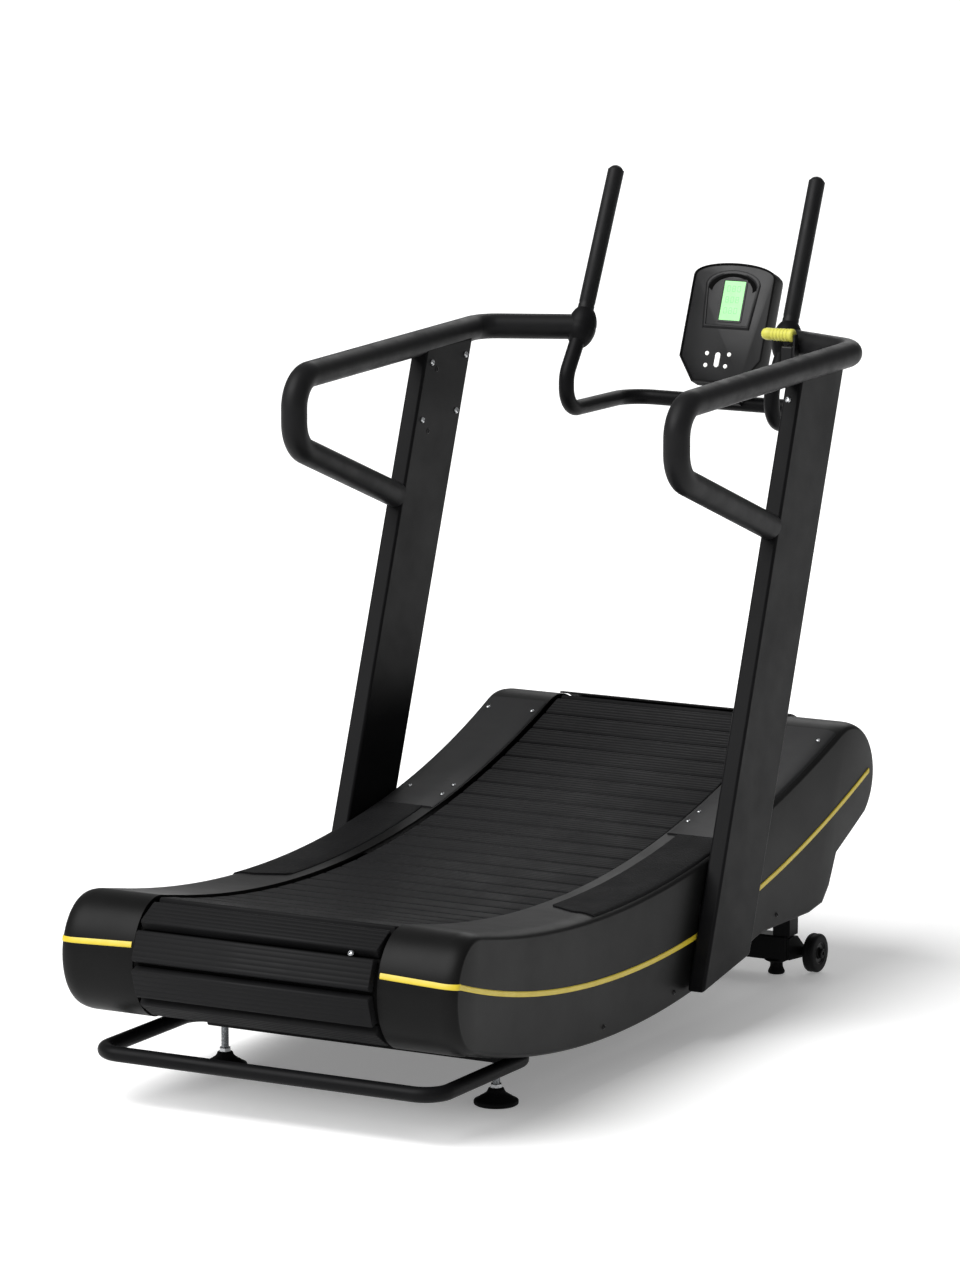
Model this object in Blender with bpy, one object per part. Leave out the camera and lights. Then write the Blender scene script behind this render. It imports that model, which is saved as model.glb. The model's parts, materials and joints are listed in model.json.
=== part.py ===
"""Curved manual treadmill, built as an assembly of separate pieces. Metres, +Z up, the runner faces +Y.

Y in the constants is measured from a datum on the deck. The whole machine is then moved by MIDDLE along Y,
so that the origin lies on the floor under the middle of the overall length.
"""

import math

import bmesh
import bpy
from mathutils import Matrix, Vector

MIDDLE = -0.05776
GAP = 0.0003

# Running surface: an arc seen from the side, with a drum of the same outer radius at each end.
ARC_Y = -0.2345
ARC_Z = 2.78
ARC_RADIUS = 2.47
SLAT_HEIGHT = 0.018
WEB_THICKNESS = 0.003
BELT_END_RADIUS = 0.1035
REAR_DRUM_Y = -0.793
FRONT_DRUM_Y = 0.700
BELT_HALF_WIDTH = 0.238
SLAT_COUNT = 61
SLAT_GAP = 0.0022
FIRST_GAP_ANGLE = math.radians(138.7)
DRUM_RADIUS = 0.0815
DRUM_HALF_WIDTH = 0.232
DRUM_TUBE_RADIUS = 0.048
PULLEY_WIDTH = 0.045
AXLE_RADIUS = 0.0125
DRUM_SHAFT_REACH = 0.296
GUIDE_INNER = 0.196
GUIDE_OUTER = 0.222

# Side frame.
RAIL_INNER = 0.2625
RAIL_OUTER = 0.2985
RAIL_TOP_BELOW = 0.072
RAIL_BOTTOM_BELOW = 0.122
BEARING_HALF = 0.032
CROSS_MEMBER_TOP_BELOW = 0.077
CROSS_MEMBER_SIZE = 0.040
POST_WIDTH = 0.036
REAR_MEMBER_Y = -0.520
FRONT_MEMBER_Y = 0.440
GUIDE_SHORT_OF_DRUM = 0.125
END_COVER_GAP = 0.0055
END_COVER_THICKNESS = 0.003
END_COVER_ANGLES = (math.radians(74), math.radians(-62))

# Side covers.
COVER_INNER = 0.246
COVER_SIDE = 0.3780
COVER_FLARE_REAR = 0.021
COVER_FLARE_FRONT = 0.012
COVER_WALL = 0.004
COVER_CORNER = 0.034
COVER_CORNER_DROP = 0.38
COVER_TOP_ABOVE = 0.004
COVER_NOSE_HEIGHT = BELT_END_RADIUS + COVER_TOP_ABOVE
COVER_REAR_NOSE = 0.088
COVER_FRONT_NOSE = 0.106
COVER_REAR_Y = REAR_DRUM_Y - COVER_REAR_NOSE
COVER_FRONT_Y = FRONT_DRUM_Y + COVER_FRONT_NOSE
COVER_BOTTOM_Y = -0.200
COVER_BOTTOM_Z = 0.074
COVER_BOTTOM_RADIUS = 2.13
COVER_BOTTOM_LEVEL = 0.144
COVER_STEP = [(0.596, 0.153), (0.626, 0.184), (0.654, 0.241), (0.712, 0.270)]
FOOT_PAD_Y = (-0.325, 0.198)
FOOT_PAD_INNER = 0.271
FOOT_PAD_THICKNESS = 0.003
TOP_PLATE_Y = (0.2005, 0.655)
TOP_PLATE_INNER = 0.249
TOP_PLATE_THICKNESS = 0.0025
STRIPE_LOW_Y = -0.160
STRIPE_LOW_Z = 0.187
STRIPE_ARC_RADIUS = 2.3
STRIPE_HEIGHT = 0.010
STRIPE_THICKNESS = 0.0012
STRIPE_OFF = 0.0007
SEAT_GAP = 0.0006

# Uprights and rails.
UPRIGHT_INNER = 0.3802
UPRIGHT_OUTER = 0.4145
UPRIGHT_LEAN = 0.36
UPRIGHT_REAR_Y_AT_0 = -0.0099
UPRIGHT_DEPTH = 0.179
UPRIGHT_TOP = 1.196
UPRIGHT_WALL = 0.003
UPRIGHT_FOOT_Z = (0.103, 0.137)
UPRIGHT_ROUNDING = 0.005
BRACKET_Y = (0.080, 0.170)
BRACKET_Z = (0.2225, 0.2580)
RAIL_X = 0.3965
RAIL_TUBE_RADIUS = 0.0245
RAIL_HEIGHT_AT_REAR = 1.1945
RAIL_RISE = 0.021
RAIL_FRONT_Y = 0.6670
RAIL_REAR_Y = -0.0570
RAIL_LOOP_Z = 1.067
RAIL_END = (0.3208, 0.9245)
RAIL_BENDS = (0.055, 0.058, 0.062)
CLAMP_CENTRE = Vector((0.221, 0.7460, 1.2085))
CLAMP_RADIUS = 0.0285
CLAMP_HALF_LENGTH = 0.044
PUSH_BAR_TOP = Vector((0.217, 0.8840, 1.5095))
PUSH_BAR_RADIUS = 0.016
CROSSBAR_RADIUS = 0.015
CROSSBAR_Y = 0.945
CROSSBAR_Z = 1.050
CROSSBAR_DROP_Y = 0.683
CROSSBAR_DROP_Z = (1.122, 1.053)
CROSSBAR_BENDS = (0.050, 0.045, 0.055)

# Console.
CONSOLE_TILT = math.radians(22.0)
CONSOLE_CENTRE = Vector((0.0, 0.9485, 1.250))
CONSOLE_HALF_WIDTH = 0.089
CONSOLE_DEPTH = 0.045
CONSOLE_RIM = 0.004
CONSOLE_SHELL = 0.0035
CONSOLE_ROUNDING = 0.008
CONSOLE_DOME = 0.031
CONSOLE_SHOULDER = 0.045
CONSOLE_WAIST = -0.117
CONSOLE_FOOT = -0.166
CONSOLE_FOOT_HALF = 0.054
FACE_THICKNESS = 0.004
BUTTON_BACK = -0.007
BUTTON_FRONT = 0.0022

DISPLAY_SIZE = (0.045, 0.079)
DISPLAY_X = 0.004
# Each button's place on the face, its width and its height.
BUTTONS = {
    "mode_button": (-0.030, -0.108, 0.0085, 0.0085),
    "reset_button": (-0.029, -0.132, 0.0085, 0.0085),
    "start_button": (-0.006, -0.120, 0.0110, 0.0300),
    "set_button": (0.018, -0.108, 0.0085, 0.0085),
    "stop_button": (0.014, -0.132, 0.0085, 0.0085),
}

# Resistance lever and brake.
LEVER_PIVOT = Vector((0.254, 0.688, 1.190))
LEVER_REACH = 0.0405
LEVER_ARM_X = (0.0118, 0.0158)
LEVER_EYE_RADIUS = 0.009
LEVER_TIP_HALF = 0.0065
KNOB_LENGTH = 0.068
KNOB_RADIUS = 0.0125
DISC_RADIUS = 0.080
DISC_X = (0.312, 0.318)
YOKE_PIVOT = Vector((0.315, 0.600, 0.345))

# Ground gear.
REAR_BEAM_Z = (0.079, 0.1075)
REAR_BEAM_REACH = 0.3060
FRONT_BEAM_Z = (0.029, 0.078)
FRONT_BEAM_REACH = 0.2915
BEAM_DEPTH = 0.040
LIFT_BAR_X = 0.344
LIFT_BAR_Y = -0.849
LIFT_BAR_Z = 0.0945
LIFT_BAR_RADIUS = 0.0140
LIFT_BAR_BENDS = (0.036, 0.045, 0.045, 0.036)
REAR_FOOT_X = 0.279
REAR_FOOT_Y = -0.5145
FOOT_RADIUS = 0.040
FOOT_NECK_Z = 0.030
FOOT_NUT_TOP_Z = 0.038
FOOT_NUT_RADIUS = 0.011
FOOT_STUD_RADIUS = 0.006
WHEEL_X = 0.325
WHEEL_Y = 0.6795
WHEEL_RADIUS = 0.0375
WHEEL_Z = 0.0390
WHEEL_HALF_WIDTH = 0.0115
FRONT_FOOT_X = 0.262
FRONT_FOOT_Y = 0.6400

CHARCOAL = (0.020, 0.020, 0.021)
DARK = (0.012, 0.012, 0.013)
STEEL = (0.55, 0.56, 0.57)
YELLOW = (0.80, 0.62, 0.06)


def clear_scene():
    for item in list(bpy.data.objects):
        bpy.data.objects.remove(item, do_unlink=True)


def material(name, colour, roughness, metallic):
    made = bpy.data.materials.new(name)
    made.use_nodes = True
    shader = made.node_tree.nodes["Principled BSDF"]
    shader.inputs["Base Color"].default_value = (*colour, 1.0)
    shader.inputs["Roughness"].default_value = roughness
    shader.inputs["Metallic"].default_value = metallic
    made.diffuse_color = (*colour, 1.0)
    return made


def add_object(name, mesh, made_of):
    item = bpy.data.objects.new(name, mesh)
    item.location = (0.0, MIDDLE, 0.0)
    if made_of:
        mesh.materials.append(made_of)
    bpy.context.scene.collection.objects.link(item)
    return item


def finish(name, bm, made_of, smooth=False):
    bmesh.ops.recalc_face_normals(bm, faces=bm.faces)
    mesh = bpy.data.meshes.new(name)
    bm.to_mesh(mesh)
    bm.free()
    if smooth:
        mesh.shade_smooth()
        mesh.set_sharp_from_angle(angle=math.radians(35))
    return add_object(name, mesh, made_of)


def bevel_all(bm, width, segments=2):
    bmesh.ops.bevel(bm, geom=list(bm.edges), offset=width, segments=segments, profile=0.5,
                    affect="EDGES", material=-1, clamp_overlap=True)


def box(name, low, high, made_of, rounding=0.0):
    bm = bmesh.new()
    size = Vector(high) - Vector(low)
    middle = (Vector(high) + Vector(low)) / 2
    bmesh.ops.create_cube(bm, size=1.0, matrix=Matrix.Translation(middle) @ Matrix.Diagonal((*size, 1.0)))
    if rounding:
        bevel_all(bm, rounding)
    return finish(name, bm, made_of)


def slab(name, outline, x_low, x_high, made_of, rounding=0.0):
    """A flat plate: an outline of (y, z) points, extruded along X."""
    bm = bmesh.new()
    face = bm.faces.new([bm.verts.new((x_low, y, z)) for y, z in outline])
    swept = bmesh.ops.extrude_face_region(bm, geom=[face])
    moved = [item for item in swept["geom"] if isinstance(item, bmesh.types.BMVert)]
    bmesh.ops.translate(bm, verts=moved, vec=(x_high - x_low, 0.0, 0.0))
    if rounding:
        rims = [edge for edge in bm.edges if abs(edge.verts[0].co.x - edge.verts[1].co.x) < 1e-6]
        bmesh.ops.bevel(bm, geom=rims, offset=rounding, segments=2, profile=0.5, affect="EDGES",
                        material=-1, clamp_overlap=True)
    return finish(name, bm, made_of)


def turned(name, profile, centre, made_of, along="X", sides=24):
    """A solid of revolution. The profile is (distance along the axis, radius), with ends on the axis or a bore."""
    bm = bmesh.new()
    closed = profile[0][1] > 0.0
    points = [bm.verts.new((radius, 0.0, distance)) for distance, radius in profile]
    pairs = list(zip(points, points[1:]))
    if closed:
        pairs.append((points[-1], points[0]))
    edges = [bm.edges.new(pair) for pair in pairs]
    bmesh.ops.spin(bm, geom=points + edges, cent=(0, 0, 0), axis=(0, 0, 1), angle=math.tau, steps=sides,
                   use_merge=True)
    bmesh.ops.remove_doubles(bm, verts=bm.verts, dist=1e-6)
    if along == "X":
        bmesh.ops.rotate(bm, verts=bm.verts, cent=(0, 0, 0), matrix=Matrix.Rotation(math.pi / 2, 3, "Y"))
    bmesh.ops.translate(bm, verts=bm.verts, vec=centre)
    return finish(name, bm, made_of, smooth=True)


def rounded_path(corners, radii, step=math.radians(15)):
    """Points along straight runs joined by arcs of the given radius at each inner corner."""
    points = [Vector(corners[0])]
    for before, corner, after, radius in zip(corners, corners[1:], corners[2:], radii):
        before, corner, after = Vector(before), Vector(corner), Vector(after)
        arriving = (corner - before).normalized()
        leaving = (after - corner).normalized()
        turn = arriving.angle(leaving)
        tangent = radius * math.tan(turn / 2)
        start = corner - arriving * tangent
        axis = arriving.cross(leaving).normalized()
        centre = start + axis.cross(arriving) * radius
        count = max(2, round(turn / step))
        for index in range(count + 1):
            spoke = Matrix.Rotation(turn * index / count, 3, axis) @ (start - centre)
            points.append(centre + spoke)
    points.append(Vector(corners[-1]))
    return points


def tube(name, points, radius, made_of, roundness=3, round_end=False):
    """A round bar along a path. A round end closes in over the last radius of its length."""
    curve = bpy.data.curves.new(name + "_path", "CURVE")
    curve.dimensions = "3D"
    curve.bevel_depth = radius
    curve.bevel_resolution = roundness
    curve.use_fill_caps = True
    scales = [1.0] * len(points)
    if round_end:
        tip = Vector(points[-1])
        heading = (tip - Vector(points[-2])).normalized()
        points = list(points[:-1])
        scales = scales[:-1]
        for angle in spread(0.0, math.radians(78), 5):
            points.append(tip - heading * radius * (1 - math.sin(angle)))
            scales.append(math.cos(angle))
    spline = curve.splines.new("POLY")
    spline.points.add(len(points) - 1)
    for target, point, scale in zip(spline.points, points, scales):
        target.co = (*point, 1.0)
        target.radius = scale
    guide = bpy.data.objects.new(name + "_path", curve)
    bpy.context.scene.collection.objects.link(guide)
    bpy.context.view_layer.update()
    mesh = bpy.data.meshes.new_from_object(guide.evaluated_get(bpy.context.evaluated_depsgraph_get()))
    bpy.data.objects.remove(guide, do_unlink=True)
    bm = bmesh.new()
    bm.from_mesh(mesh)
    bmesh.ops.remove_doubles(bm, verts=bm.verts, dist=1e-6)
    return finish(name, bm, made_of, smooth=True)


def combine(item, helper, operation):
    helper.hide_render = True
    helper.display_type = "WIRE"
    modifier = item.modifiers.new(operation.lower(), "BOOLEAN")
    modifier.operation = operation
    modifier.solver = "EXACT"
    modifier.object = helper


def cut(item, cutter):
    combine(item, cutter, "DIFFERENCE")


def join(item, helper):
    combine(item, helper, "UNION")


def pivot_at(item, point):
    """Moves a piece's origin to a point on its joint's axis. The piece itself stays where it is."""
    item.data.transform(Matrix.Translation(-Vector(point)))
    item.location = Vector(point) + Vector((0.0, MIDDLE, 0.0))


def mirrored(points, side):
    return [Vector((side * point[0], point[1], point[2])) for point in points]


def arc_height(y, below=0.0):
    """Height of the line that lies `below` the running surface, measured along the arc's radius."""
    radius = ARC_RADIUS + below
    return ARC_Z - math.sqrt(radius ** 2 - (y - ARC_Y) ** 2)


def drum_height(y):
    return arc_height(y, below=BELT_END_RADIUS)


REAR_DRUM_Z = drum_height(REAR_DRUM_Y)
FRONT_DRUM_Z = drum_height(FRONT_DRUM_Y)


def spread(first, last, count):
    return [first + (last - first) * index / (count - 1) for index in range(count)]


def belt_station(distance):
    """Place and outward direction of the belt's pitch line at a distance along it from the rear drum's top."""
    pitch_radius = BELT_END_RADIUS - SLAT_HEIGHT
    rear_angle = math.asin((REAR_DRUM_Y - ARC_Y) / (ARC_RADIUS + BELT_END_RADIUS))
    front_angle = math.asin((FRONT_DRUM_Y - ARC_Y) / (ARC_RADIUS + BELT_END_RADIUS))
    sweep = front_angle - rear_angle
    upper = ARC_RADIUS + SLAT_HEIGHT
    lower = ARC_RADIUS + 2 * BELT_END_RADIUS - SLAT_HEIGHT
    lengths = (upper * sweep, math.pi * pitch_radius, lower * sweep, math.pi * pitch_radius)
    distance = distance % sum(lengths)
    centre = Vector((ARC_Y, ARC_Z))
    if distance < lengths[0]:
        angle = rear_angle + distance / upper
        down = Vector((math.sin(angle), -math.cos(angle)))
        return centre + down * upper, -down, sum(lengths)
    distance -= lengths[0]
    if distance < lengths[1]:
        heading = front_angle + math.pi / 2 - distance / pitch_radius
        out = Vector((math.cos(heading), math.sin(heading)))
        return Vector((FRONT_DRUM_Y, FRONT_DRUM_Z)) + out * pitch_radius, out, sum(lengths)
    distance -= lengths[1]
    if distance < lengths[2]:
        angle = front_angle - distance / lower
        down = Vector((math.sin(angle), -math.cos(angle)))
        return centre + down * lower, down, sum(lengths)
    distance -= lengths[2]
    heading = rear_angle - math.pi / 2 - distance / pitch_radius
    out = Vector((math.cos(heading), math.sin(heading)))
    return Vector((REAR_DRUM_Y, REAR_DRUM_Z)) + out * pitch_radius, out, sum(lengths)


def belt_phase():
    """Distance along the belt at which the gap between two slats stands at FIRST_GAP_ANGLE on the rear drum."""
    rear_angle = math.asin((REAR_DRUM_Y - ARC_Y) / (ARC_RADIUS + BELT_END_RADIUS))
    past_top = rear_angle + math.pi / 2 - FIRST_GAP_ANGLE
    return past_top * (BELT_END_RADIUS - SLAT_HEIGHT)


def running_belt(made_of):
    """The slats and the web that joins them, as one closed loop round both drums."""
    bm = bmesh.new()
    total = belt_station(0.0)[2]
    pitch = total / SLAT_COUNT
    half = pitch / 2 - SLAT_GAP / 2
    phase = belt_phase()
    rings = []
    for index in range(SLAT_COUNT):
        place, out, _ = belt_station(phase + pitch * (index + 0.5))
        along = Vector((out.y, -out.x))
        offsets = ((-half, -WEB_THICKNESS), (-half, 0.0), (-half, SLAT_HEIGHT),
                   (half, SLAT_HEIGHT), (half, 0.0), (half, -WEB_THICKNESS))
        spots = [place + along * sideways + out * outwards for sideways, outwards in offsets]
        rings.append([bm.verts.new((-BELT_HALF_WIDTH, *spot)) for spot in spots])
    for ring, following in zip(rings, rings[1:] + rings[:1]):
        bm.faces.new(ring)
        bm.faces.new((ring[4], following[1], following[0], ring[5]))
    swept = bmesh.ops.extrude_face_region(bm, geom=list(bm.faces))
    moved = [item for item in swept["geom"] if isinstance(item, bmesh.types.BMVert)]
    bmesh.ops.translate(bm, verts=moved, vec=(2 * BELT_HALF_WIDTH, 0.0, 0.0))
    return finish("running_belt", bm, made_of)


def drum(name, y, z, made_of, right_reach=DRUM_SHAFT_REACH):
    """A steel tube with a pulley at each end and a shaft journal through each bearing block."""
    inner = DRUM_HALF_WIDTH - PULLEY_WIDTH
    profile = [(-DRUM_SHAFT_REACH, 0.0), (-DRUM_SHAFT_REACH, AXLE_RADIUS), (-DRUM_HALF_WIDTH, AXLE_RADIUS),
               (-DRUM_HALF_WIDTH, DRUM_RADIUS), (-inner, DRUM_RADIUS), (-inner, DRUM_TUBE_RADIUS),
               (inner, DRUM_TUBE_RADIUS), (inner, DRUM_RADIUS), (DRUM_HALF_WIDTH, DRUM_RADIUS),
               (DRUM_HALF_WIDTH, AXLE_RADIUS), (right_reach, AXLE_RADIUS), (right_reach, 0.0)]
    roller = turned(name, profile, (0.0, y, z), made_of, sides=32)
    pivot_at(roller, (0.0, y, z))
    return roller


def bearing_block(name, side, y, z, made_of):
    """A flanged bearing block: a square body with a raised boss, bored for the axle."""
    bm = bmesh.new()
    half = BEARING_HALF
    inner, outer = RAIL_INNER + 0.004, RAIL_OUTER - 0.004
    bore = AXLE_RADIUS + GAP
    count = 16
    ring_out, ring_in = [], []
    for index in range(count):
        angle = math.tau * (index + 0.5) / count
        reach = half / max(abs(math.cos(angle)), abs(math.sin(angle)))
        reach = min(reach, half * 1.22)
        ring_out.append((y + reach * math.cos(angle), z + reach * math.sin(angle)))
        ring_in.append((y + bore * 1.02 * math.cos(angle), z + bore * 1.02 * math.sin(angle)))
    outer_verts = [bm.verts.new((side * inner, *spot)) for spot in ring_out]
    inner_verts = [bm.verts.new((side * inner, *spot)) for spot in ring_in]
    for index in range(count):
        after = (index + 1) % count
        bm.faces.new((outer_verts[index], outer_verts[after], inner_verts[after], inner_verts[index]))
    swept = bmesh.ops.extrude_face_region(bm, geom=list(bm.faces))
    moved = [item for item in swept["geom"] if isinstance(item, bmesh.types.BMVert)]
    bmesh.ops.translate(bm, verts=moved, vec=(side * (outer - inner), 0.0, 0.0))
    return finish(name, bm, made_of)


def frame_rail(name, side, made_of):
    """A curved box rail from one bearing block to the other, with a leg down to each floor beam."""
    rear = REAR_DRUM_Y + BEARING_HALF + 0.0010
    front = FRONT_DRUM_Y - BEARING_HALF - 0.0010
    outline = [(y, arc_height(y, RAIL_TOP_BELOW)) for y in spread(rear, front, 17)]
    legs = ((FRONT_FOOT_Y, FRONT_BEAM_Z[1]), (REAR_FOOT_Y, REAR_BEAM_Z[1]))
    stops = [front] + [spot for leg_y, _ in legs for spot in (leg_y + POST_WIDTH / 2, leg_y - POST_WIDTH / 2)]
    underside = [y for y in reversed(spread(rear, front, 17)) if all(abs(y - stop) > 0.02 for stop in stops)]
    for y in sorted(underside + stops, reverse=True):
        outline.append((y, arc_height(y, RAIL_BOTTOM_BELOW)))
        for leg_y, beam_top in legs:
            if y == leg_y + POST_WIDTH / 2:
                outline.append((y, beam_top + GAP))
                outline.append((leg_y - POST_WIDTH / 2, beam_top + GAP))
    low, high = sorted((side * RAIL_INNER, side * RAIL_OUTER))
    return slab(name, outline, low, high, made_of)


def cross_member(name, y, made_of):
    """A box tube from rail to rail, square to the arc."""
    slope = math.asin((y - ARC_Y) / ARC_RADIUS)
    along, up = Vector((math.cos(slope), math.sin(slope))), Vector((-math.sin(slope), math.cos(slope)))
    top = Vector((ARC_Y, ARC_Z)) - up * (ARC_RADIUS + CROSS_MEMBER_TOP_BELOW)
    half = CROSS_MEMBER_SIZE / 2
    outline = [top - along * half, top - along * half - up * 2 * half, top + along * half - up * 2 * half,
               top + along * half]
    reach = RAIL_INNER - GAP
    return slab(name, [tuple(corner) for corner in outline], -reach, reach, made_of, 0.003)


def slat_guide(name, side, made_of):
    """A curved track that carries the slats between the drums. It stands on the cross members."""
    rear, front = REAR_DRUM_Y + GUIDE_SHORT_OF_DRUM, FRONT_DRUM_Y - GUIDE_SHORT_OF_DRUM
    stations = spread(rear, front, 15)
    belt_inside = SLAT_HEIGHT + WEB_THICKNESS
    outline = [(y, arc_height(y, belt_inside + 0.0015)) for y in stations]
    outline += [(y, arc_height(y, CROSS_MEMBER_TOP_BELOW - 0.0006)) for y in reversed(stations)]
    low, high = sorted((side * GUIDE_INNER, side * GUIDE_OUTER))
    return slab(name, outline, low, high, made_of)


def bottom_height(y):
    """Lower edge of the side cover: an arc, then a level stretch."""
    arc = COVER_BOTTOM_Z + COVER_BOTTOM_RADIUS - math.sqrt(COVER_BOTTOM_RADIUS ** 2 - (y - COVER_BOTTOM_Y) ** 2)
    return arc if y < COVER_BOTTOM_Y else min(arc, COVER_BOTTOM_LEVEL)


def cover_profile(between=14):
    """Top and bottom edges of a side cover, as matching (y, z) points from the rear end to the front."""
    def nose(drum_y, drum_z, reach, height, first, last, count=7):
        return [(drum_y + reach * math.cos(angle), drum_z + height * math.sin(angle))
                for angle in spread(first, last, count)]

    rear_tangent = math.atan2(ARC_Z - REAR_DRUM_Z, ARC_Y - REAR_DRUM_Y)
    front_tangent = math.atan2(ARC_Z - FRONT_DRUM_Z, ARC_Y - FRONT_DRUM_Y)
    top = nose(REAR_DRUM_Y, REAR_DRUM_Z, COVER_REAR_NOSE, COVER_NOSE_HEIGHT, math.pi, rear_tangent)
    front = nose(FRONT_DRUM_Y, FRONT_DRUM_Z, COVER_FRONT_NOSE, COVER_NOSE_HEIGHT, front_tangent, 0.0)
    for y in spread(top[-1][0], front[0][0], between + 2)[1:-1]:
        top.append((y, arc_height(y) + COVER_TOP_ABOVE))
    below = REAR_DRUM_Z - bottom_height(REAR_DRUM_Y)
    bottom = nose(REAR_DRUM_Y, REAR_DRUM_Z, COVER_REAR_NOSE, below, math.pi, 1.5 * math.pi)
    for y in spread(REAR_DRUM_Y, 0.545, between - 1)[1:]:
        bottom.append((y, bottom_height(y)))
    bottom += COVER_STEP
    chin = nose(FRONT_DRUM_Y, FRONT_DRUM_Z, COVER_FRONT_NOSE, COVER_NOSE_HEIGHT, math.radians(-50), 0.0, 5)
    return top + front, bottom + chin


def cover_side(y):
    """How far out the side of a cover stands: it flares gently towards each end."""
    if y < 0.0:
        return COVER_SIDE + COVER_FLARE_REAR * (y / COVER_REAR_Y) ** 2
    past_upright = max(0.0, y - 0.25) / (COVER_FRONT_Y - 0.25)
    return COVER_SIDE + COVER_FLARE_FRONT * past_upright ** 2


def offset_ring(ring, amount):
    """A closed outline moved inwards. It runs over the top first, from the rear."""
    moved = []
    for index, (y, z) in enumerate(ring):
        before, after = Vector(ring[index - 1]), Vector(ring[(index + 1) % len(ring)])
        run = (after - before).normalized()
        moved.append((y + run.y * amount, z - run.x * amount))
    return moved


def bridge(bm, one, two):
    for index in range(len(one)):
        after = (index + 1) % len(one)
        bm.faces.new((one[index], one[after], two[after], two[index]))


def close_end(bm, ring, split):
    """Fills a ring with strips between its top points and the bottom points under them."""
    count = len(ring)
    for index in range(split - 1):
        corners = [ring[index], ring[index + 1], ring[(count - index - 1) % count], ring[(count - index) % count]]
        bm.faces.new(list(dict.fromkeys(corners)))


def side_cover(name, side, made_of):
    """A moulded shell, open towards the belt: a top skin, rounded ends, a side and a narrow bottom lip."""
    top, bottom = cover_profile()
    ring = top + bottom[-2:0:-1]
    closed_rear, closed_front = REAR_DRUM_Y + 0.10, FRONT_DRUM_Y - 0.02

    def layer(points, x_of):
        return [bm.verts.new((side * x_of(index, point[0]), *point)) for index, point in enumerate(points)]

    def rim_x(index, y):
        on_top = index < len(top)
        return COVER_INNER if on_top or y < closed_rear or y > closed_front else RAIL_OUTER + 0.008

    bm = bmesh.new()
    outside = [layer(ring, rim_x)]
    for angle in spread(0.0, math.pi / 2, 5):
        drop = COVER_CORNER * COVER_CORNER_DROP * (1 - math.cos(angle))
        back = COVER_CORNER * (1 - math.sin(angle))
        outside.append(layer(offset_ring(ring, drop), lambda _index, y, back=back: cover_side(y) - back))
    inner_drop = COVER_CORNER * COVER_CORNER_DROP + COVER_WALL * 0.5
    inside = [layer(offset_ring(ring, inner_drop), lambda _index, y: cover_side(y) - COVER_WALL),
              layer(offset_ring(ring, COVER_WALL), lambda _index, y: cover_side(y) - COVER_CORNER),
              layer(offset_ring(ring, COVER_WALL), rim_x)]
    for chain in (outside, inside):
        for one, two in zip(chain, chain[1:]):
            bridge(bm, one, two)
    bridge(bm, outside[0], inside[-1])
    close_end(bm, outside[-1], len(top))
    close_end(bm, inside[0], len(top))
    return finish(name, bm, made_of, smooth=True)


def hole_for_bracket(word, side):
    """The cutter that lets an upright's bracket through the side cover."""
    low, high = bracket_box(side, RAIL_OUTER + 0.05, UPRIGHT_OUTER)
    margin = Vector((0.0, GAP, GAP))
    return box(f"cutter_bracket_{word}", Vector(low) - margin, Vector(high) + margin, None)


def bracket_box(side, x_low, x_high):
    ends = sorted((side * x_low, side * x_high))
    return (ends[0], BRACKET_Y[0], BRACKET_Z[0]), (ends[1], BRACKET_Y[1], BRACKET_Z[1])


def height_on(profile, y):
    """Height of a broken line at y."""
    for (y_low, z_low), (y_high, z_high) in zip(profile, profile[1:]):
        if y_low <= y <= y_high:
            return z_low + (z_high - z_low) * (y - y_low) / (y_high - y_low)
    return profile[-1][1]


def rear_face_y(z):
    """Where the rear face of a side cover stands at height z, on its upper half."""
    upper = [(height, y) for y, height in cover_profile()[0][:7]]
    return height_on(upper, z)


def skin_height(x, y):
    """Height of a side cover's upper skin, which falls away over the rounded outer corner."""
    share = max(0.0, (x - cover_side(y) + COVER_CORNER) / COVER_CORNER)
    return height_on(cover_profile()[0], y) - COVER_CORNER * COVER_CORNER_DROP * (1 - math.sqrt(1 - share ** 2))


def cover_strip(name, side, y_low, y_high, inner, thickness, made_of):
    """A sheet laid on the top of a side cover, from an inner edge over onto the rounded outer corner."""
    stations = [y_low] + [y for y, _ in cover_profile()[0] if y_low < y < y_high] + [y_high]
    bm = bmesh.new()
    sections = []
    for y in stations:
        across = [inner] + [cover_side(y) - COVER_CORNER * share for share in (0.98, 0.62, 0.37, 0.21)]
        under = [(x, skin_height(x, y) + GAP) for x in across]
        loop = under + [(x, z + thickness) for x, z in reversed(under)]
        sections.append([bm.verts.new((side * x, y, z)) for x, z in loop])
    for one, two in zip(sections, sections[1:]):
        bridge(bm, one, two)
    bm.faces.new(sections[0])
    bm.faces.new(sections[-1])
    return finish(name, bm, made_of)


def stripe_height(y):
    radius = STRIPE_ARC_RADIUS
    return STRIPE_LOW_Z + radius - math.sqrt(radius ** 2 - (y - STRIPE_LOW_Y) ** 2)


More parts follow.
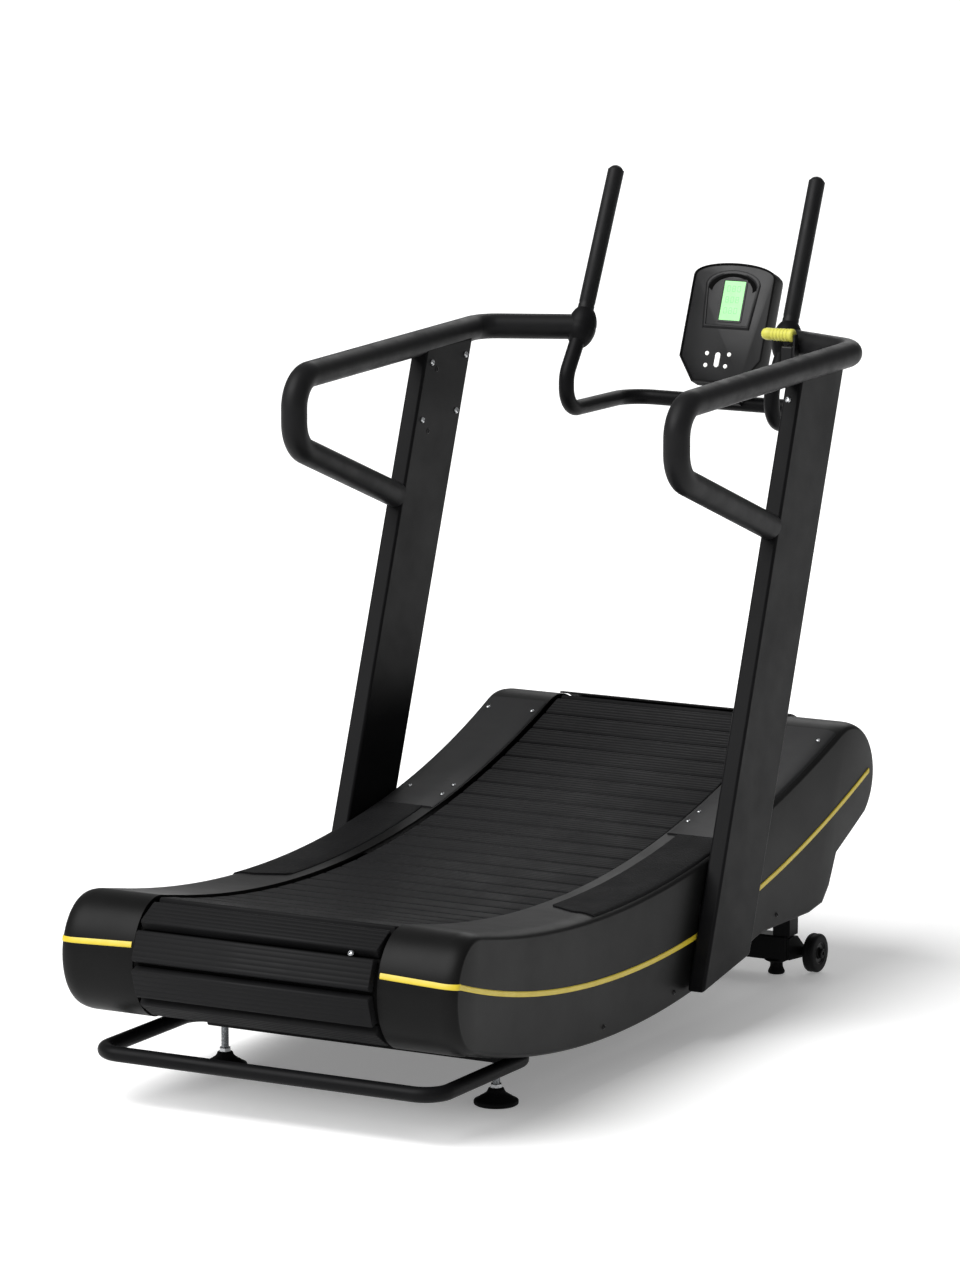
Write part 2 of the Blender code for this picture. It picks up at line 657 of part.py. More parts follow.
def stripe_route():
    """Points on the cover's outer surface that the stripe follows, each with the outward direction there."""
    rear_z = stripe_height(COVER_REAR_Y)
    rear_y = rear_face_y(rear_z)
    route = [((COVER_INNER + 0.006, rear_y, rear_z), (0.0, -1.0), True)]
    drop = COVER_CORNER * COVER_CORNER_DROP
    for angle in spread(0.0, math.pi / 2, 5):
        x = cover_side(rear_y) - COVER_CORNER * (1 - math.sin(angle))
        y = rear_y + drop * (1 - math.cos(angle))
        facing = Vector((math.sin(angle) * drop, -math.cos(angle) * COVER_CORNER)).normalized()
        route.append(((x, y, rear_z), tuple(facing), True))
    sides = [y for y, _ in cover_profile()[0] if rear_y + 0.03 < y < COVER_FRONT_Y - 0.030]
    for y in sides:
        route.append(((cover_side(y), y, stripe_height(y)), (1.0, 0.0), False))
    return route


def stripe(name, side, made_of):
    """A thin moulded strip along the cover, from its rear face, round the corner and to the front."""
    bm = bmesh.new()
    sections = []
    near, far = STRIPE_OFF, STRIPE_OFF + STRIPE_THICKNESS
    for (x, y, z), (out_x, out_y), on_rear in stripe_route():
        corners = []
        for out, up in ((near, -0.5), (near, 0.5), (far, 0.38), (far, -0.38)):
            height = z + up * STRIPE_HEIGHT
            lean = rear_face_y(height) - rear_face_y(z) if on_rear else 0.0
            corners.append(bm.verts.new((side * (x + out_x * out), y + lean + out_y * out, height)))
        sections.append(corners)
    for one, two in zip(sections, sections[1:]):
        bridge(bm, one, two)
    bm.faces.new(sections[0])
    bm.faces.new(sections[-1])
    return finish(name, bm, made_of)


def front_end_cover(made_of):
    """A curved plate round the front drum, between the two side covers."""
    inner = BELT_END_RADIUS + END_COVER_GAP
    outer = inner + END_COVER_THICKNESS
    angles = spread(*END_COVER_ANGLES, 13)
    outline = [(FRONT_DRUM_Y + outer * math.cos(angle), FRONT_DRUM_Z + outer * math.sin(angle)) for angle in angles]
    outline += [(FRONT_DRUM_Y + inner * math.cos(angle), FRONT_DRUM_Z + inner * math.sin(angle))
                for angle in reversed(angles)]
    reach = COVER_INNER - GAP
    return slab("front_end_cover", outline, -reach, reach, made_of)


def upright_outline(inset=0.0, bottom=0.0):
    """Side view of an upright, leaning forwards, as (y, z) points."""
    corners = []
    foot_rear, foot_front = UPRIGHT_FOOT_Z
    for z, edge in ((foot_rear - bottom, 0.0), (foot_front - bottom, 1.0), (UPRIGHT_TOP - inset, 1.0),
                    (UPRIGHT_TOP - inset, 0.0)):
        y = UPRIGHT_REAR_Y_AT_0 + UPRIGHT_LEAN * z + edge * UPRIGHT_DEPTH
        corners.append((y + (inset if edge == 0.0 else -inset) * 1.06, z))
    return corners


def upright(name, word, side, made_of, cutter_material):
    """A leaning box column, open at its foot, saddled at the top under the handrail."""
    low, high = sorted((side * UPRIGHT_INNER, side * UPRIGHT_OUTER))
    column = slab(name, upright_outline(), low, high, made_of)
    rounding = column.modifiers.new("corners", "BEVEL")
    rounding.width = UPRIGHT_ROUNDING
    rounding.segments = 2
    rounding.limit_method = "ANGLE"
    rounding.angle_limit = math.radians(60)
    hollow = slab(f"cutter_hollow_{word}", upright_outline(UPRIGHT_WALL, 0.05), low + UPRIGHT_WALL,
                  high - UPRIGHT_WALL, cutter_material)
    cut(column, hollow)
    cut(column, tube(f"cutter_saddle_{word}", rail_path(side), RAIL_TUBE_RADIUS + SEAT_GAP, cutter_material))
    return column


def rail_height(y):
    """Centre height of the handrail's upper run."""
    return RAIL_HEIGHT_AT_REAR + (y - 0.02) * RAIL_RISE


def rail_path(side):
    """From the clamp outwards, back along the upright's top, and down round a loop to the upright's rear face."""
    front, rear = RAIL_FRONT_Y, RAIL_REAR_Y
    corners = [CLAMP_CENTRE, (RAIL_X + 0.006, front, rail_height(front)), (RAIL_X, rear, rail_height(rear)),
               (RAIL_X, rear, RAIL_LOOP_Z), (RAIL_X, *RAIL_END)]
    return mirrored(rounded_path(corners, RAIL_BENDS), side)


def handrail(name, word, side, made_of):
    rail = tube(name, rail_path(side), RAIL_TUBE_RADIUS, made_of)
    cut(rail, bpy.data.objects[f"cutter_clamp_{word}"])
    return rail


def clamp_knuckle(name, side, margin, made_of):
    """An egg-shaped knuckle, longer along the push bar, where three tubes meet."""
    bm = bmesh.new()
    centre = Vector((side * CLAMP_CENTRE.x, CLAMP_CENTRE.y, CLAMP_CENTRE.z))
    lean = (PUSH_BAR_TOP - CLAMP_CENTRE).to_track_quat("Z", "X").to_matrix().to_4x4()
    across = CLAMP_RADIUS + margin
    stretch = Matrix.Diagonal((across, across, CLAMP_HALF_LENGTH + margin, 1.0))
    bmesh.ops.create_uvsphere(bm, u_segments=20, v_segments=12, radius=1.0,
                              matrix=Matrix.Translation(centre) @ lean @ stretch)
    return finish(name, bm, made_of, smooth=True)


def push_bar(name, word, side, made_of):
    bar = tube(name, mirrored((CLAMP_CENTRE, PUSH_BAR_TOP), side), PUSH_BAR_RADIUS, made_of, round_end=True)
    cut(bar, bpy.data.objects[f"cutter_clamp_{word}"])
    return bar


def console_crossbar(made_of):
    """A bent tube that drops from one clamp, runs forwards, crosses behind the console and comes back."""
    x = CLAMP_CENTRE.x
    drops = [(x, CROSSBAR_DROP_Y, z) for z in CROSSBAR_DROP_Z]
    right = [CLAMP_CENTRE, *drops, (x, CROSSBAR_Y, CROSSBAR_Z)]
    corners = right + [(-corner[0], corner[1], corner[2]) for corner in reversed(right)]
    path = rounded_path(corners, CROSSBAR_BENDS + CROSSBAR_BENDS[::-1])
    bar = tube("console_crossbar", path, CROSSBAR_RADIUS, made_of)
    for word in ("left", "right"):
        cut(bar, bpy.data.objects[f"cutter_clamp_{word}"])
    return bar


def console_frame():
    """Turns the console's own axes into the machine's: X across, Y up the face, Z out of the face."""
    return Matrix.Translation(CONSOLE_CENTRE) @ Matrix.Rotation(math.pi / 2 - CONSOLE_TILT, 4, "X")


def console_outline(inset=0.0):
    """The console's outline in its own plane: straight sides, a tapered foot and a domed top."""
    half, foot_half = CONSOLE_HALF_WIDTH - inset, CONSOLE_FOOT_HALF - inset * 0.7
    waist = CONSOLE_WAIST + inset * 0.4
    corners = [(-foot_half, CONSOLE_FOOT + inset), (foot_half, CONSOLE_FOOT + inset), (half, waist)]
    return corners + console_dome(inset) + [(-half, waist)]


def console_dome(inset):
    """The domed top of the console's outline, from its right shoulder to its left one."""
    half = CONSOLE_HALF_WIDTH - inset
    return [(half * math.cos(angle),
             CONSOLE_SHOULDER + CONSOLE_DOME * math.sin(angle) ** 0.8 - inset * math.sin(angle))
            for angle in spread(0.0, math.pi, 11)]


def console_plate(name, outline, back, front, made_of, rounding=0.0):
    """A plate parallel to the console's face, from one depth to another."""
    bm = bmesh.new()
    face = bm.faces.new([bm.verts.new((x, y, back)) for x, y in outline])
    swept = bmesh.ops.extrude_face_region(bm, geom=[face])
    moved = [item for item in swept["geom"] if isinstance(item, bmesh.types.BMVert)]
    bmesh.ops.translate(bm, verts=moved, vec=(0.0, 0.0, front - back))
    if rounding:
        rims = [edge for edge in bm.edges if all(abs(vert.co.z - back) < 1e-6 for vert in edge.verts)]
        bmesh.ops.bevel(bm, geom=rims, offset=rounding, segments=2, profile=0.5, affect="EDGES",
                        material=-1, clamp_overlap=True)
    bmesh.ops.transform(bm, matrix=console_frame(), verts=bm.verts)
    return finish(name, bm, made_of)


def rectangle(x, y, width, height):
    return [(x - width / 2, y - height / 2), (x + width / 2, y - height / 2),
            (x + width / 2, y + height / 2), (x - width / 2, y + height / 2)]


def capsule(x, y, width, height, steps=5):
    """A rectangle with round ends, taller than it is wide, or a circle when both are equal."""
    radius, reach = width / 2, (height - width) / 2
    points = [(x + radius * math.cos(angle), y + reach + radius * math.sin(angle))
              for angle in spread(0.0, math.pi, steps + 1)]
    points += [(x + radius * math.cos(angle), y - reach + radius * math.sin(angle))
               for angle in spread(math.pi, math.tau, steps + 1)]
    if reach == 0.0:
        points = points[:steps] + points[steps + 1:-1]
    return points


def console(housing_made_of, face_made_of, glass, white):
    """Housing, face, display window and buttons."""
    housing = console_plate("console_housing", console_outline(), -CONSOLE_DEPTH, CONSOLE_RIM, housing_made_of,
                            CONSOLE_ROUNDING)
    pocket = console_plate("cutter_console_pocket", console_outline(CONSOLE_SHELL), -CONSOLE_DEPTH + CONSOLE_SHELL,
                           0.02, None)
    cut(housing, pocket)
    face = console_plate("console_face", console_outline(CONSOLE_SHELL + GAP), -FACE_THICKNESS, 0.0, face_made_of)
    width, height = DISPLAY_SIZE
    window = console_plate("cutter_console_window", rectangle(DISPLAY_X, 0.0, width, height), -0.02, 0.02, None)
    cut(face, window)
    console_plate("console_display", rectangle(DISPLAY_X, 0.0, width - 2 * GAP, height - 2 * GAP), -0.0055,
                  -0.0012, glass)
    for name, (x, y, across, tall) in BUTTONS.items():
        hole = console_plate(f"cutter_{name}", capsule(x, y, across + 2 * GAP, tall + 2 * GAP), -0.02, 0.02, None)
        cut(face, hole)
        button = console_plate(name, capsule(x, y, across, tall), BUTTON_BACK, BUTTON_FRONT, white)
        pivot_at(button, console_frame() @ Vector((x, y, 0.0)))


def console_bracket(made_of):
    """A plate up the back of the console, cut to sit on the crossbar."""
    back = -CONSOLE_DEPTH - GAP
    plate = console_plate("console_bracket", rectangle(0.0, -0.130, 0.070, 0.130), back - 0.014, back, made_of)
    ends = [(-0.1, CROSSBAR_Y, CROSSBAR_Z), (0.1, CROSSBAR_Y, CROSSBAR_Z)]
    saddle = tube("cutter_console_saddle", ends, CROSSBAR_RADIUS + 0.0006, made_of, roundness=6)
    cut(plate, saddle)
    return plate


def lever_housing(made_of):
    """A small block behind the handrail's front end, hollowed to seat on it."""
    x, y, _ = LEVER_PIVOT
    block = box("lever_housing", (x - 0.013, y - 0.009, 1.172), (x + 0.0115, y + 0.0215, 1.208), made_of, 0.003)
    cut(block, bpy.data.objects["cutter_saddle_right"])
    return block


def lever_arm(made_of):
    """A flat arm beside the housing, with a pivot eye at its foot and a seat for the knob at its top."""
    x, y, z = LEVER_PIVOT
    outline = [(y + LEVER_EYE_RADIUS * math.cos(angle), z + LEVER_EYE_RADIUS * math.sin(angle))
               for angle in spread(math.pi, math.tau, 7)]
    outline += [(y + LEVER_TIP_HALF, z + LEVER_REACH), (y - LEVER_TIP_HALF, z + LEVER_REACH)]
    arm = slab("lever_arm", outline, x + LEVER_ARM_X[0], x + LEVER_ARM_X[1], made_of)
    pivot_at(arm, LEVER_PIVOT)
    return arm


def lever_knob(made_of):
    """A barrel grip across the top of the lever."""
    x, y, z = LEVER_PIVOT
    length, radius = KNOB_LENGTH, KNOB_RADIUS
    end = x + 0.0115
    profile = [(end, 0.0), (end, radius * 0.75), (end - 0.004, radius), (end - length + 0.009, radius * 0.92),
               (end - length + 0.003, radius * 0.72), (end - length, radius * 0.3), (end - length, 0.0)]
    knob = turned("lever_knob", profile, (0.0, y, z + LEVER_REACH - 0.002), made_of, sides=20)
    pivot_at(knob, LEVER_PIVOT)
    return knob


def brake_disc(made_of):
    low, high = DISC_X
    bore = AXLE_RADIUS + GAP
    profile = [(low, bore), (low, DISC_RADIUS), (high, DISC_RADIUS), (high, bore)]
    disc = turned("brake_disc", profile, (0.0, FRONT_DRUM_Y, FRONT_DRUM_Z), made_of, sides=40)
    pivot_at(disc, (0.0, FRONT_DRUM_Y, FRONT_DRUM_Z))
    return disc


def magnet_yoke(made_of, cutter_material):
    """A block that straddles the brake disc's rim and turns about a stub on the frame rail."""
    _, y, z = YOKE_PIVOT
    yoke = box("magnet_yoke", (RAIL_OUTER + GAP, y - 0.015, z - 0.015), (0.3275, y + 0.050, z + 0.015), made_of,
               0.002)
    slot = box("cutter_yoke_slot", (DISC_X[0] - 0.0015, y + 0.012, z - 0.05), (DISC_X[1] + 0.0015, y + 0.1, z + 0.05),
               cutter_material)
    cut(yoke, slot)
    pivot_at(yoke, YOKE_PIVOT)
    return yoke


def floor_beam(name, y, heights, reach, made_of):
    half = BEAM_DEPTH / 2
    return box(name, (-reach, y - half, heights[0]), (reach, y + half, heights[1]), made_of, 0.003)


def lift_bar_path():
    """From one end of the rear beam outwards, back, across behind the machine, and to the beam's other end."""
    half = [(REAR_BEAM_REACH + GAP, REAR_FOOT_Y, LIFT_BAR_Z), (LIFT_BAR_X, REAR_FOOT_Y, LIFT_BAR_Z),
            (LIFT_BAR_X, LIFT_BAR_Y, LIFT_BAR_Z)]
    corners = half + [(-x, y, z) for x, y, z in reversed(half)]
    return rounded_path(corners, LIFT_BAR_BENDS)


def rear_foot(word, side, rubber, bare):
    place = (side * REAR_FOOT_X, REAR_FOOT_Y, 0.0)
    pad = [(0.0, 0.0), (0.0, FOOT_RADIUS - 0.002), (0.002, FOOT_RADIUS), (0.008, FOOT_RADIUS), (0.022, 0.017),
           (FOOT_NECK_Z, 0.014), (FOOT_NECK_Z, 0.0)]
    pivot_at(turned(f"rear_foot_pad_{word}", pad, place, rubber, along="Z", sides=28), place)
    top = REAR_BEAM_Z[0] - GAP
    nut, low = FOOT_NUT_RADIUS, FOOT_NECK_Z + GAP
    stud = [(low, 0.0), (low, nut), (FOOT_NUT_TOP_Z, nut), (FOOT_NUT_TOP_Z, FOOT_STUD_RADIUS),
            (top, FOOT_STUD_RADIUS), (top, 0.0)]
    pivot_at(turned(f"rear_foot_stud_{word}", stud, place, bare, along="Z", sides=12), place)


def front_foot(word, side, rubber):
    top = FRONT_BEAM_Z[0] - GAP
    profile = [(0.0, 0.0), (0.0, 0.0145), (0.004, 0.0165), (0.015, 0.0120), (top - 0.006, 0.0120), (top, 0.0240),
               (top, 0.0)]
    place = (side * FRONT_FOOT_X, FRONT_FOOT_Y, 0.0)
    pivot_at(turned(f"front_foot_{word}", profile, place, rubber, along="Z", sides=20), place)


def transport_wheel(word, side, rubber, made_of):
    """A wheel on a bracket whose stub axle ends in a head that keeps the wheel on."""
    x, half = WHEEL_X, WHEEL_HALF_WIDTH
    centre = (0.0, WHEEL_Y, WHEEL_Z)
    bore = 0.0058
    profile = [(x - half, bore), (x - half, WHEEL_RADIUS - 0.004), (x - half + 0.004, WHEEL_RADIUS),
               (x + half - 0.004, WHEEL_RADIUS), (x + half, WHEEL_RADIUS - 0.004), (x + half, bore)]
    wheel = turned(f"wheel_{word}", [(side * along, radius) for along, radius in profile], centre, rubber, sides=28)
    pivot_at(wheel, (side * x, WHEEL_Y, WHEEL_Z))
    low, high = FRONT_BEAM_REACH + GAP, FRONT_BEAM_REACH + GAP + 0.006
    axle = [(low + 0.002, 0.0), (low + 0.002, 0.009), (x - half - GAP, 0.009), (x - half - GAP, 0.0055),
            (x + half + GAP, 0.0055), (x + half + GAP, 0.010), (x + half + 0.006, 0.010), (x + half + 0.006, 0.0)]
    stub = turned(f"axle_stub_{word}", [(side * along, radius) for along, radius in axle], centre, made_of, sides=16)
    ends = sorted((side * low, side * high))
    outline = [(FRONT_FOOT_Y - 0.018, 0.074), (FRONT_FOOT_Y - 0.018, 0.032), (WHEEL_Y + 0.004, WHEEL_Z - 0.012),
               (WHEEL_Y + 0.012, WHEEL_Z), (WHEEL_Y + 0.006, WHEEL_Z + 0.012), (FRONT_FOOT_Y + 0.018, 0.074)]
    join(slab(f"wheel_bracket_{word}", outline, ends[0], ends[1], made_of), stub)


def build_base(steel, bare, rubber):
    running_belt(rubber)
    drum("rear_drum", REAR_DRUM_Y, REAR_DRUM_Z, bare)
    drum("front_drum", FRONT_DRUM_Y, FRONT_DRUM_Z, bare, right_reach=0.332)
    brake_disc(bare)
    magnet_yoke(steel, steel)
    cross_member("rear_cross_member", REAR_MEMBER_Y, steel)
    cross_member("front_cross_member", FRONT_MEMBER_Y, steel)
    floor_beam("rear_floor_beam", REAR_FOOT_Y, REAR_BEAM_Z, REAR_BEAM_REACH, steel)
    floor_beam("front_floor_beam", FRONT_FOOT_Y, FRONT_BEAM_Z, FRONT_BEAM_REACH, steel)
    tube("rear_lift_bar", lift_bar_path(), LIFT_BAR_RADIUS, steel)
    for side, word in ((-1, "left"), (1, "right")):
        frame_rail(f"frame_rail_{word}", side, steel)
        slat_guide(f"slat_guide_{word}", side, bare)
        bearing_block(f"front_bearing_{word}", side, FRONT_DRUM_Y, FRONT_DRUM_Z, bare)
        bearing_block(f"rear_bearing_{word}", side, REAR_DRUM_Y, REAR_DRUM_Z, bare)
        rear_foot(word, side, rubber, bare)
        front_foot(word, side, rubber)
        transport_wheel(word, side, rubber, steel)


def build_covers(plastic, rubber, yellow):
    front_end_cover(plastic)
    notch = tube("cutter_lift_bar", lift_bar_path(), LIFT_BAR_RADIUS + SEAT_GAP, plastic)
    for side, word in ((-1, "left"), (1, "right")):
        cover = side_cover(f"side_cover_{word}", side, plastic)
        cut(cover, hole_for_bracket(word, side))
        cut(cover, notch)
        cover_strip(f"foot_pad_{word}", side, *FOOT_PAD_Y, FOOT_PAD_INNER, FOOT_PAD_THICKNESS, rubber)
        cover_strip(f"top_plate_{word}", side, *TOP_PLATE_Y, TOP_PLATE_INNER, TOP_PLATE_THICKNESS, plastic)
        stripe(f"stripe_{word}", side, yellow)


def build_uprights(steel, plastic):
    for side, word in ((-1, "left"), (1, "right")):
        upright(f"upright_{word}", word, side, steel, steel)
        low, high = bracket_box(side, RAIL_OUTER + GAP, UPRIGHT_INNER - GAP)
        box(f"upright_bracket_{word}", low, high, steel)
        clamp_knuckle(f"push_bar_clamp_{word}", side, 0.0, steel)
        clamp_knuckle(f"cutter_clamp_{word}", side, 0.0005, steel)
        handrail(f"handrail_{word}", word, side, steel)
        push_bar(f"push_bar_{word}", word, side, steel)
    console_crossbar(steel)


def main():
    clear_scene()
    steel = material("powder_coated_steel", CHARCOAL, 0.45, 0.3)
    bare = material("bare_steel", STEEL, 0.35, 1.0)
    plastic = material("moulded_plastic", CHARCOAL, 0.5, 0.0)
    rubber = material("rubber", DARK, 0.8, 0.0)
    yellow = material("yellow_plastic", YELLOW, 0.4, 0.0)
    glass = material("display_window", (0.45, 0.75, 0.45), 0.1, 0.0)
    white = material("white_plastic", (0.8, 0.8, 0.8), 0.4, 0.0)
    build_base(steel, bare, rubber)
    build_covers(plastic, rubber, yellow)
    build_uprights(steel, plastic)
    console(plastic, plastic, glass, white)
    console_bracket(steel)
    lever_housing(plastic)
    lever_arm(bare)
    lever_knob(yellow)


main()
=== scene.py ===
"""The looks of a curved manual treadmill, built round its CAD frame. Metres, +Z up, the runner faces +Y.

Every class below makes one sub-assembly. Its sizes along Y are measured from a datum on the deck, the same one that
the frame was drawn from, and the workshop moves each finished mesh from that datum into the frame.
"""

import json
import logging
import math
from dataclasses import dataclass, field
from enum import Enum
from typing import Sequence

import bmesh
import bpy
from mathutils import Matrix, Vector

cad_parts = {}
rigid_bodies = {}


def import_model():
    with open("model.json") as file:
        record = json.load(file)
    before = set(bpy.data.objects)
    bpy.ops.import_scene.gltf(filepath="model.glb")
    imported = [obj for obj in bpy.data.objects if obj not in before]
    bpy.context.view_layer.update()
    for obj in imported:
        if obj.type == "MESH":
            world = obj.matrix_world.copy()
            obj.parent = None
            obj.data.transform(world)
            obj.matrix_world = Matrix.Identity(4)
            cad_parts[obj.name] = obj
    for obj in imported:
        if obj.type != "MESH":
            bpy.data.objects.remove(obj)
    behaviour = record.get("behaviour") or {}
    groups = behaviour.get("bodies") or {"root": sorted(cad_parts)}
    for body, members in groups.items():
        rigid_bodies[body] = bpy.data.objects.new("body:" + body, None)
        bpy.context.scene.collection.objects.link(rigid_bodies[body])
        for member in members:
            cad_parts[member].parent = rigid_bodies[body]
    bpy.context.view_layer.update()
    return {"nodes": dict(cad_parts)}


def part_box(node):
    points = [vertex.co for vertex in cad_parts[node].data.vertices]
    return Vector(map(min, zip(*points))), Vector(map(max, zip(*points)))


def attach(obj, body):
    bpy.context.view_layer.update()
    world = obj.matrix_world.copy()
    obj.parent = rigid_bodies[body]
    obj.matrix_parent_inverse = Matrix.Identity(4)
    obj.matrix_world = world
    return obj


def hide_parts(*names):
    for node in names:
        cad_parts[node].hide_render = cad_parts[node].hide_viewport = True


LOG = logging.getLogger("treadmill")
MM = 0.001
WELD = 1e-6
SEGMENTS = 3
BEVEL_ABOVE = math.radians(40)
PATCH_SPAN = (0.3, 0.7)
STREAK_MM, STREAK_SPAN = 3.0, (0.60, 0.74)
AREA_MM, AREA_SPAN = 55.0, (0.50, 0.68)
STUD_SPAN = (0.55, 0.15)
STUD_STRENGTH = 0.8
RUB_DULLING = 0.18
SUNK = 0.0003
SCREW_HEAD = ((0.25, 1.0), (0.62, 0.88), (0.92, 0.62), (1.0, 0.50), (0.96, 0.44), (0.35, 0.42), (0.30, 0.0))
Socket = bpy.types.NodeSocket
Tree = bpy.types.NodeTree
BMesh = bmesh.types.BMesh
Point = Sequence[float]
Outline = list[tuple[float, float]]


class Side(Enum):
    """The two sides of the machine, as the runner sees them."""

    LEFT = -1
    RIGHT = 1

    @property
    def word(self) -> str:
        """The side's name in lower case."""
        return self.name.lower()


class Slot(Enum):
    """The material slots that the part's record lists."""

    STEEL = "powder_coated_steel"
    BARE = "bare_steel"
    PLASTIC = "moulded_plastic"
    RUBBER = "rubber"
    YELLOW = "yellow_plastic"
    GLASS = "display_window"
    WHITE = "white_plastic"


def linear(code: str) -> tuple[float, float, float, float]:
    """Turns an sRGB hex colour into the linear colour a shader takes.

    Args:
        code: Six hex digits, red first.

    Returns:
        Red, green, blue and an alpha of one.
    """
    parts = [int(code[start:start + 2], 16) / 255 for start in (0, 2, 4)]
    red, green, blue = [part / 12.92 if part <= 0.04045 else ((part + 0.055) / 1.055) ** 2.4 for part in parts]
    return red, green, blue, 1.0


def spread(first: float, last: float, count: int) -> list[float]:
    """Evenly spaced numbers from first to last."""
    return [first + (last - first) * index / (count - 1) for index in range(count)]


def add_node(tree: Tree, kind: str, inputs: dict | None = None, **settings) -> bpy.types.Node:
    """Adds one shader node.

    Args:
        tree: The material's node tree.
        kind: The node's type name.
        inputs: What each input takes, by name or number: a value, or another node's output socket.
        **settings: Properties to set on the node.

    Returns:
        The new node.
    """
    node = tree.nodes.new(kind)
    for name, value in settings.items():
        setattr(node, name, value)
    for key, value in (inputs or {}).items():
        if isinstance(value, Socket):
            tree.links.new(value, node.inputs[key])
        else:
            node.inputs[key].default_value = value
    return node


def noise(tree: Tree, place: Socket, size_mm: float, detail: float,
          roughness: float = 0.5) -> Socket:
    """Adds noise whose lumps are about size_mm across."""
    return add_node(tree, "ShaderNodeTexNoise", {"Vector": place, "Scale": 1 / (size_mm * MM), "Detail": detail,
                                                 "Roughness": roughness}).outputs["Fac"]


def ranged(tree: Tree, value: Socket, span: tuple[float, float],
           onto: tuple[float, float] = (0.0, 1.0)) -> Socket:
    """Maps a value from one span onto another, and holds it inside."""
    return add_node(tree, "ShaderNodeMapRange", {"Value": value, "From Min": span[0], "From Max": span[1],
                                                 "To Min": onto[0], "To Max": onto[1]}).outputs["Result"]


def mixed(tree: Tree, share: Socket, one, other) -> Socket:
    """Mixes two colours, each a value or a socket."""
    return add_node(tree, "ShaderNodeMix", {0: share, 6: one, 7: other}, data_type="RGBA").outputs[2]


@dataclass(frozen=True)
class Finish:
    """One surface finish.

    Two tones wander into each other in soft patches, the gloss wanders with them, a fine grain stands in the bump,
    and rub marks, where there are any, dull and lighten thin streaks.
    """

    name: str
    tone: str
    other_tone: str
    gloss: tuple[float, float]
    metal: float = 0.0
    shine: float = 0.5
    patch_mm: float = 70.0
    grain_mm: float = 0.8
    grain_height_mm: float = 0.02
    grain_strength: float = 0.5
    weave_mm: float = 0.0
    weave_height_mm: float = 0.2
    rub_tone: str = ""
    rub_amount: float = 0.0
    rub_stretch: tuple[float, float, float] = (1.0, 1.0, 1.0)
    glow: float = 0.0

    def build(self) -> bpy.types.Material:
        """Makes the node-based material from this finish's numbers."""
        made = bpy.data.materials.new(self.name)
        made.use_nodes = True
        made.diffuse_color = linear(self.tone)
        tree = made.node_tree
        shader = tree.nodes["Principled BSDF"]
        shader.inputs["Metallic"].default_value = self.metal
        shader.inputs["Specular IOR Level"].default_value = self.shine
        place = add_node(tree, "ShaderNodeTexCoord").outputs["Object"]
        patches = noise(tree, place, self.patch_mm, 4.0, 0.6)
        colour = mixed(tree, ranged(tree, patches, PATCH_SPAN), linear(self.tone), linear(self.other_tone))
        gloss = ranged(tree, patches, PATCH_SPAN, self.gloss)
        if self.rub_amount:
            rubbed = self.rub_marks(tree, place)
            colour = mixed(tree, rubbed, colour, linear(self.rub_tone))
            gloss = add_node(tree, "ShaderNodeMath", {0: rubbed, 1: RUB_DULLING, 2: gloss},
                             operation="MULTIPLY_ADD").outputs["Value"]
        tree.links.new(colour, shader.inputs["Base Color"])
        tree.links.new(gloss, shader.inputs["Roughness"])
        tree.links.new(self.surface(tree, place), shader.inputs["Normal"])
        # Glow: on the keys and the display this is painted light, as they are no lamps; on the floor it keeps the
        # floor evenly bright.
        if self.glow:
            tree.links.new(colour, shader.inputs["Emission Color"])
            shader.inputs["Emission Strength"].default_value = self.glow
        return made

    def rub_marks(self, tree: Tree, place: Socket) -> Socket:
        """Adds thin streaks where the surface has been rubbed, gathered in patches."""
        stretched = add_node(tree, "ShaderNodeMapping", {"Vector": place, "Scale": self.rub_stretch})
        streak = ranged(tree, noise(tree, stretched.outputs["Vector"], STREAK_MM, 3.0), STREAK_SPAN)
        area = ranged(tree, noise(tree, place, AREA_MM, 2.0), AREA_SPAN, (0.0, self.rub_amount))
        return add_node(tree, "ShaderNodeMath", {0: streak, 1: area}, operation="MULTIPLY").outputs["Value"]

    def surface(self, tree: Tree, place: Socket) -> Socket:
        """Adds the grain, and the moulded studs if there are any, as bumps."""
        bump = add_node(tree, "ShaderNodeBump", {"Height": noise(tree, place, self.grain_mm, 2.0, 0.55),
                                                 "Strength": self.grain_strength,
                                                 "Distance": self.grain_height_mm * MM})
        if self.weave_mm:
            cells = add_node(tree, "ShaderNodeTexVoronoi", {"Vector": place, "Scale": 1 / (self.weave_mm * MM)})
            bump = add_node(tree, "ShaderNodeBump", {"Height": ranged(tree, cells.outputs["Distance"], STUD_SPAN),
                                                     "Strength": STUD_STRENGTH,
                                                     "Distance": self.weave_height_mm * MM,
                                                     "Normal": bump.outputs["Normal"]})
        return bump.outputs["Normal"]


# Powder coat, sprayed and baked: near black, satin, with the soft pebble of a baked powder.
POWDER_COAT = Finish("black_powder_coat_baked", "0e0e0f", "121213", (0.38, 0.50), shine=0.07, patch_mm=90.0,
                     grain_mm=1.6, grain_height_mm=0.05, grain_strength=0.55, rub_tone="272727", rub_amount=0.25,
                     rub_stretch=(1.0, 1.0, 0.12))
# The same coat with a coarse wrinkle, as on the hand rails, where it gives grip.
WRINKLE_COAT = Finish("black_wrinkle_coat_baked", "121213", "171718", (0.42, 0.58), shine=0.14, patch_mm=45.0,
                      grain_mm=2.6, grain_height_mm=0.14, grain_strength=0.6)
# Injection moulded ABS with an etched, fine leathery grain: an even satin black.
MOULDED_ABS = Finish("charcoal_abs_moulded_etched", "0e0e0e", "121212", (0.36, 0.46), shine=0.09, patch_mm=140.0,
                     grain_mm=0.9, grain_height_mm=0.03, grain_strength=0.5, rub_tone="2c2c2c", rub_amount=0.2,
                     rub_stretch=(1.0, 0.1, 1.0))
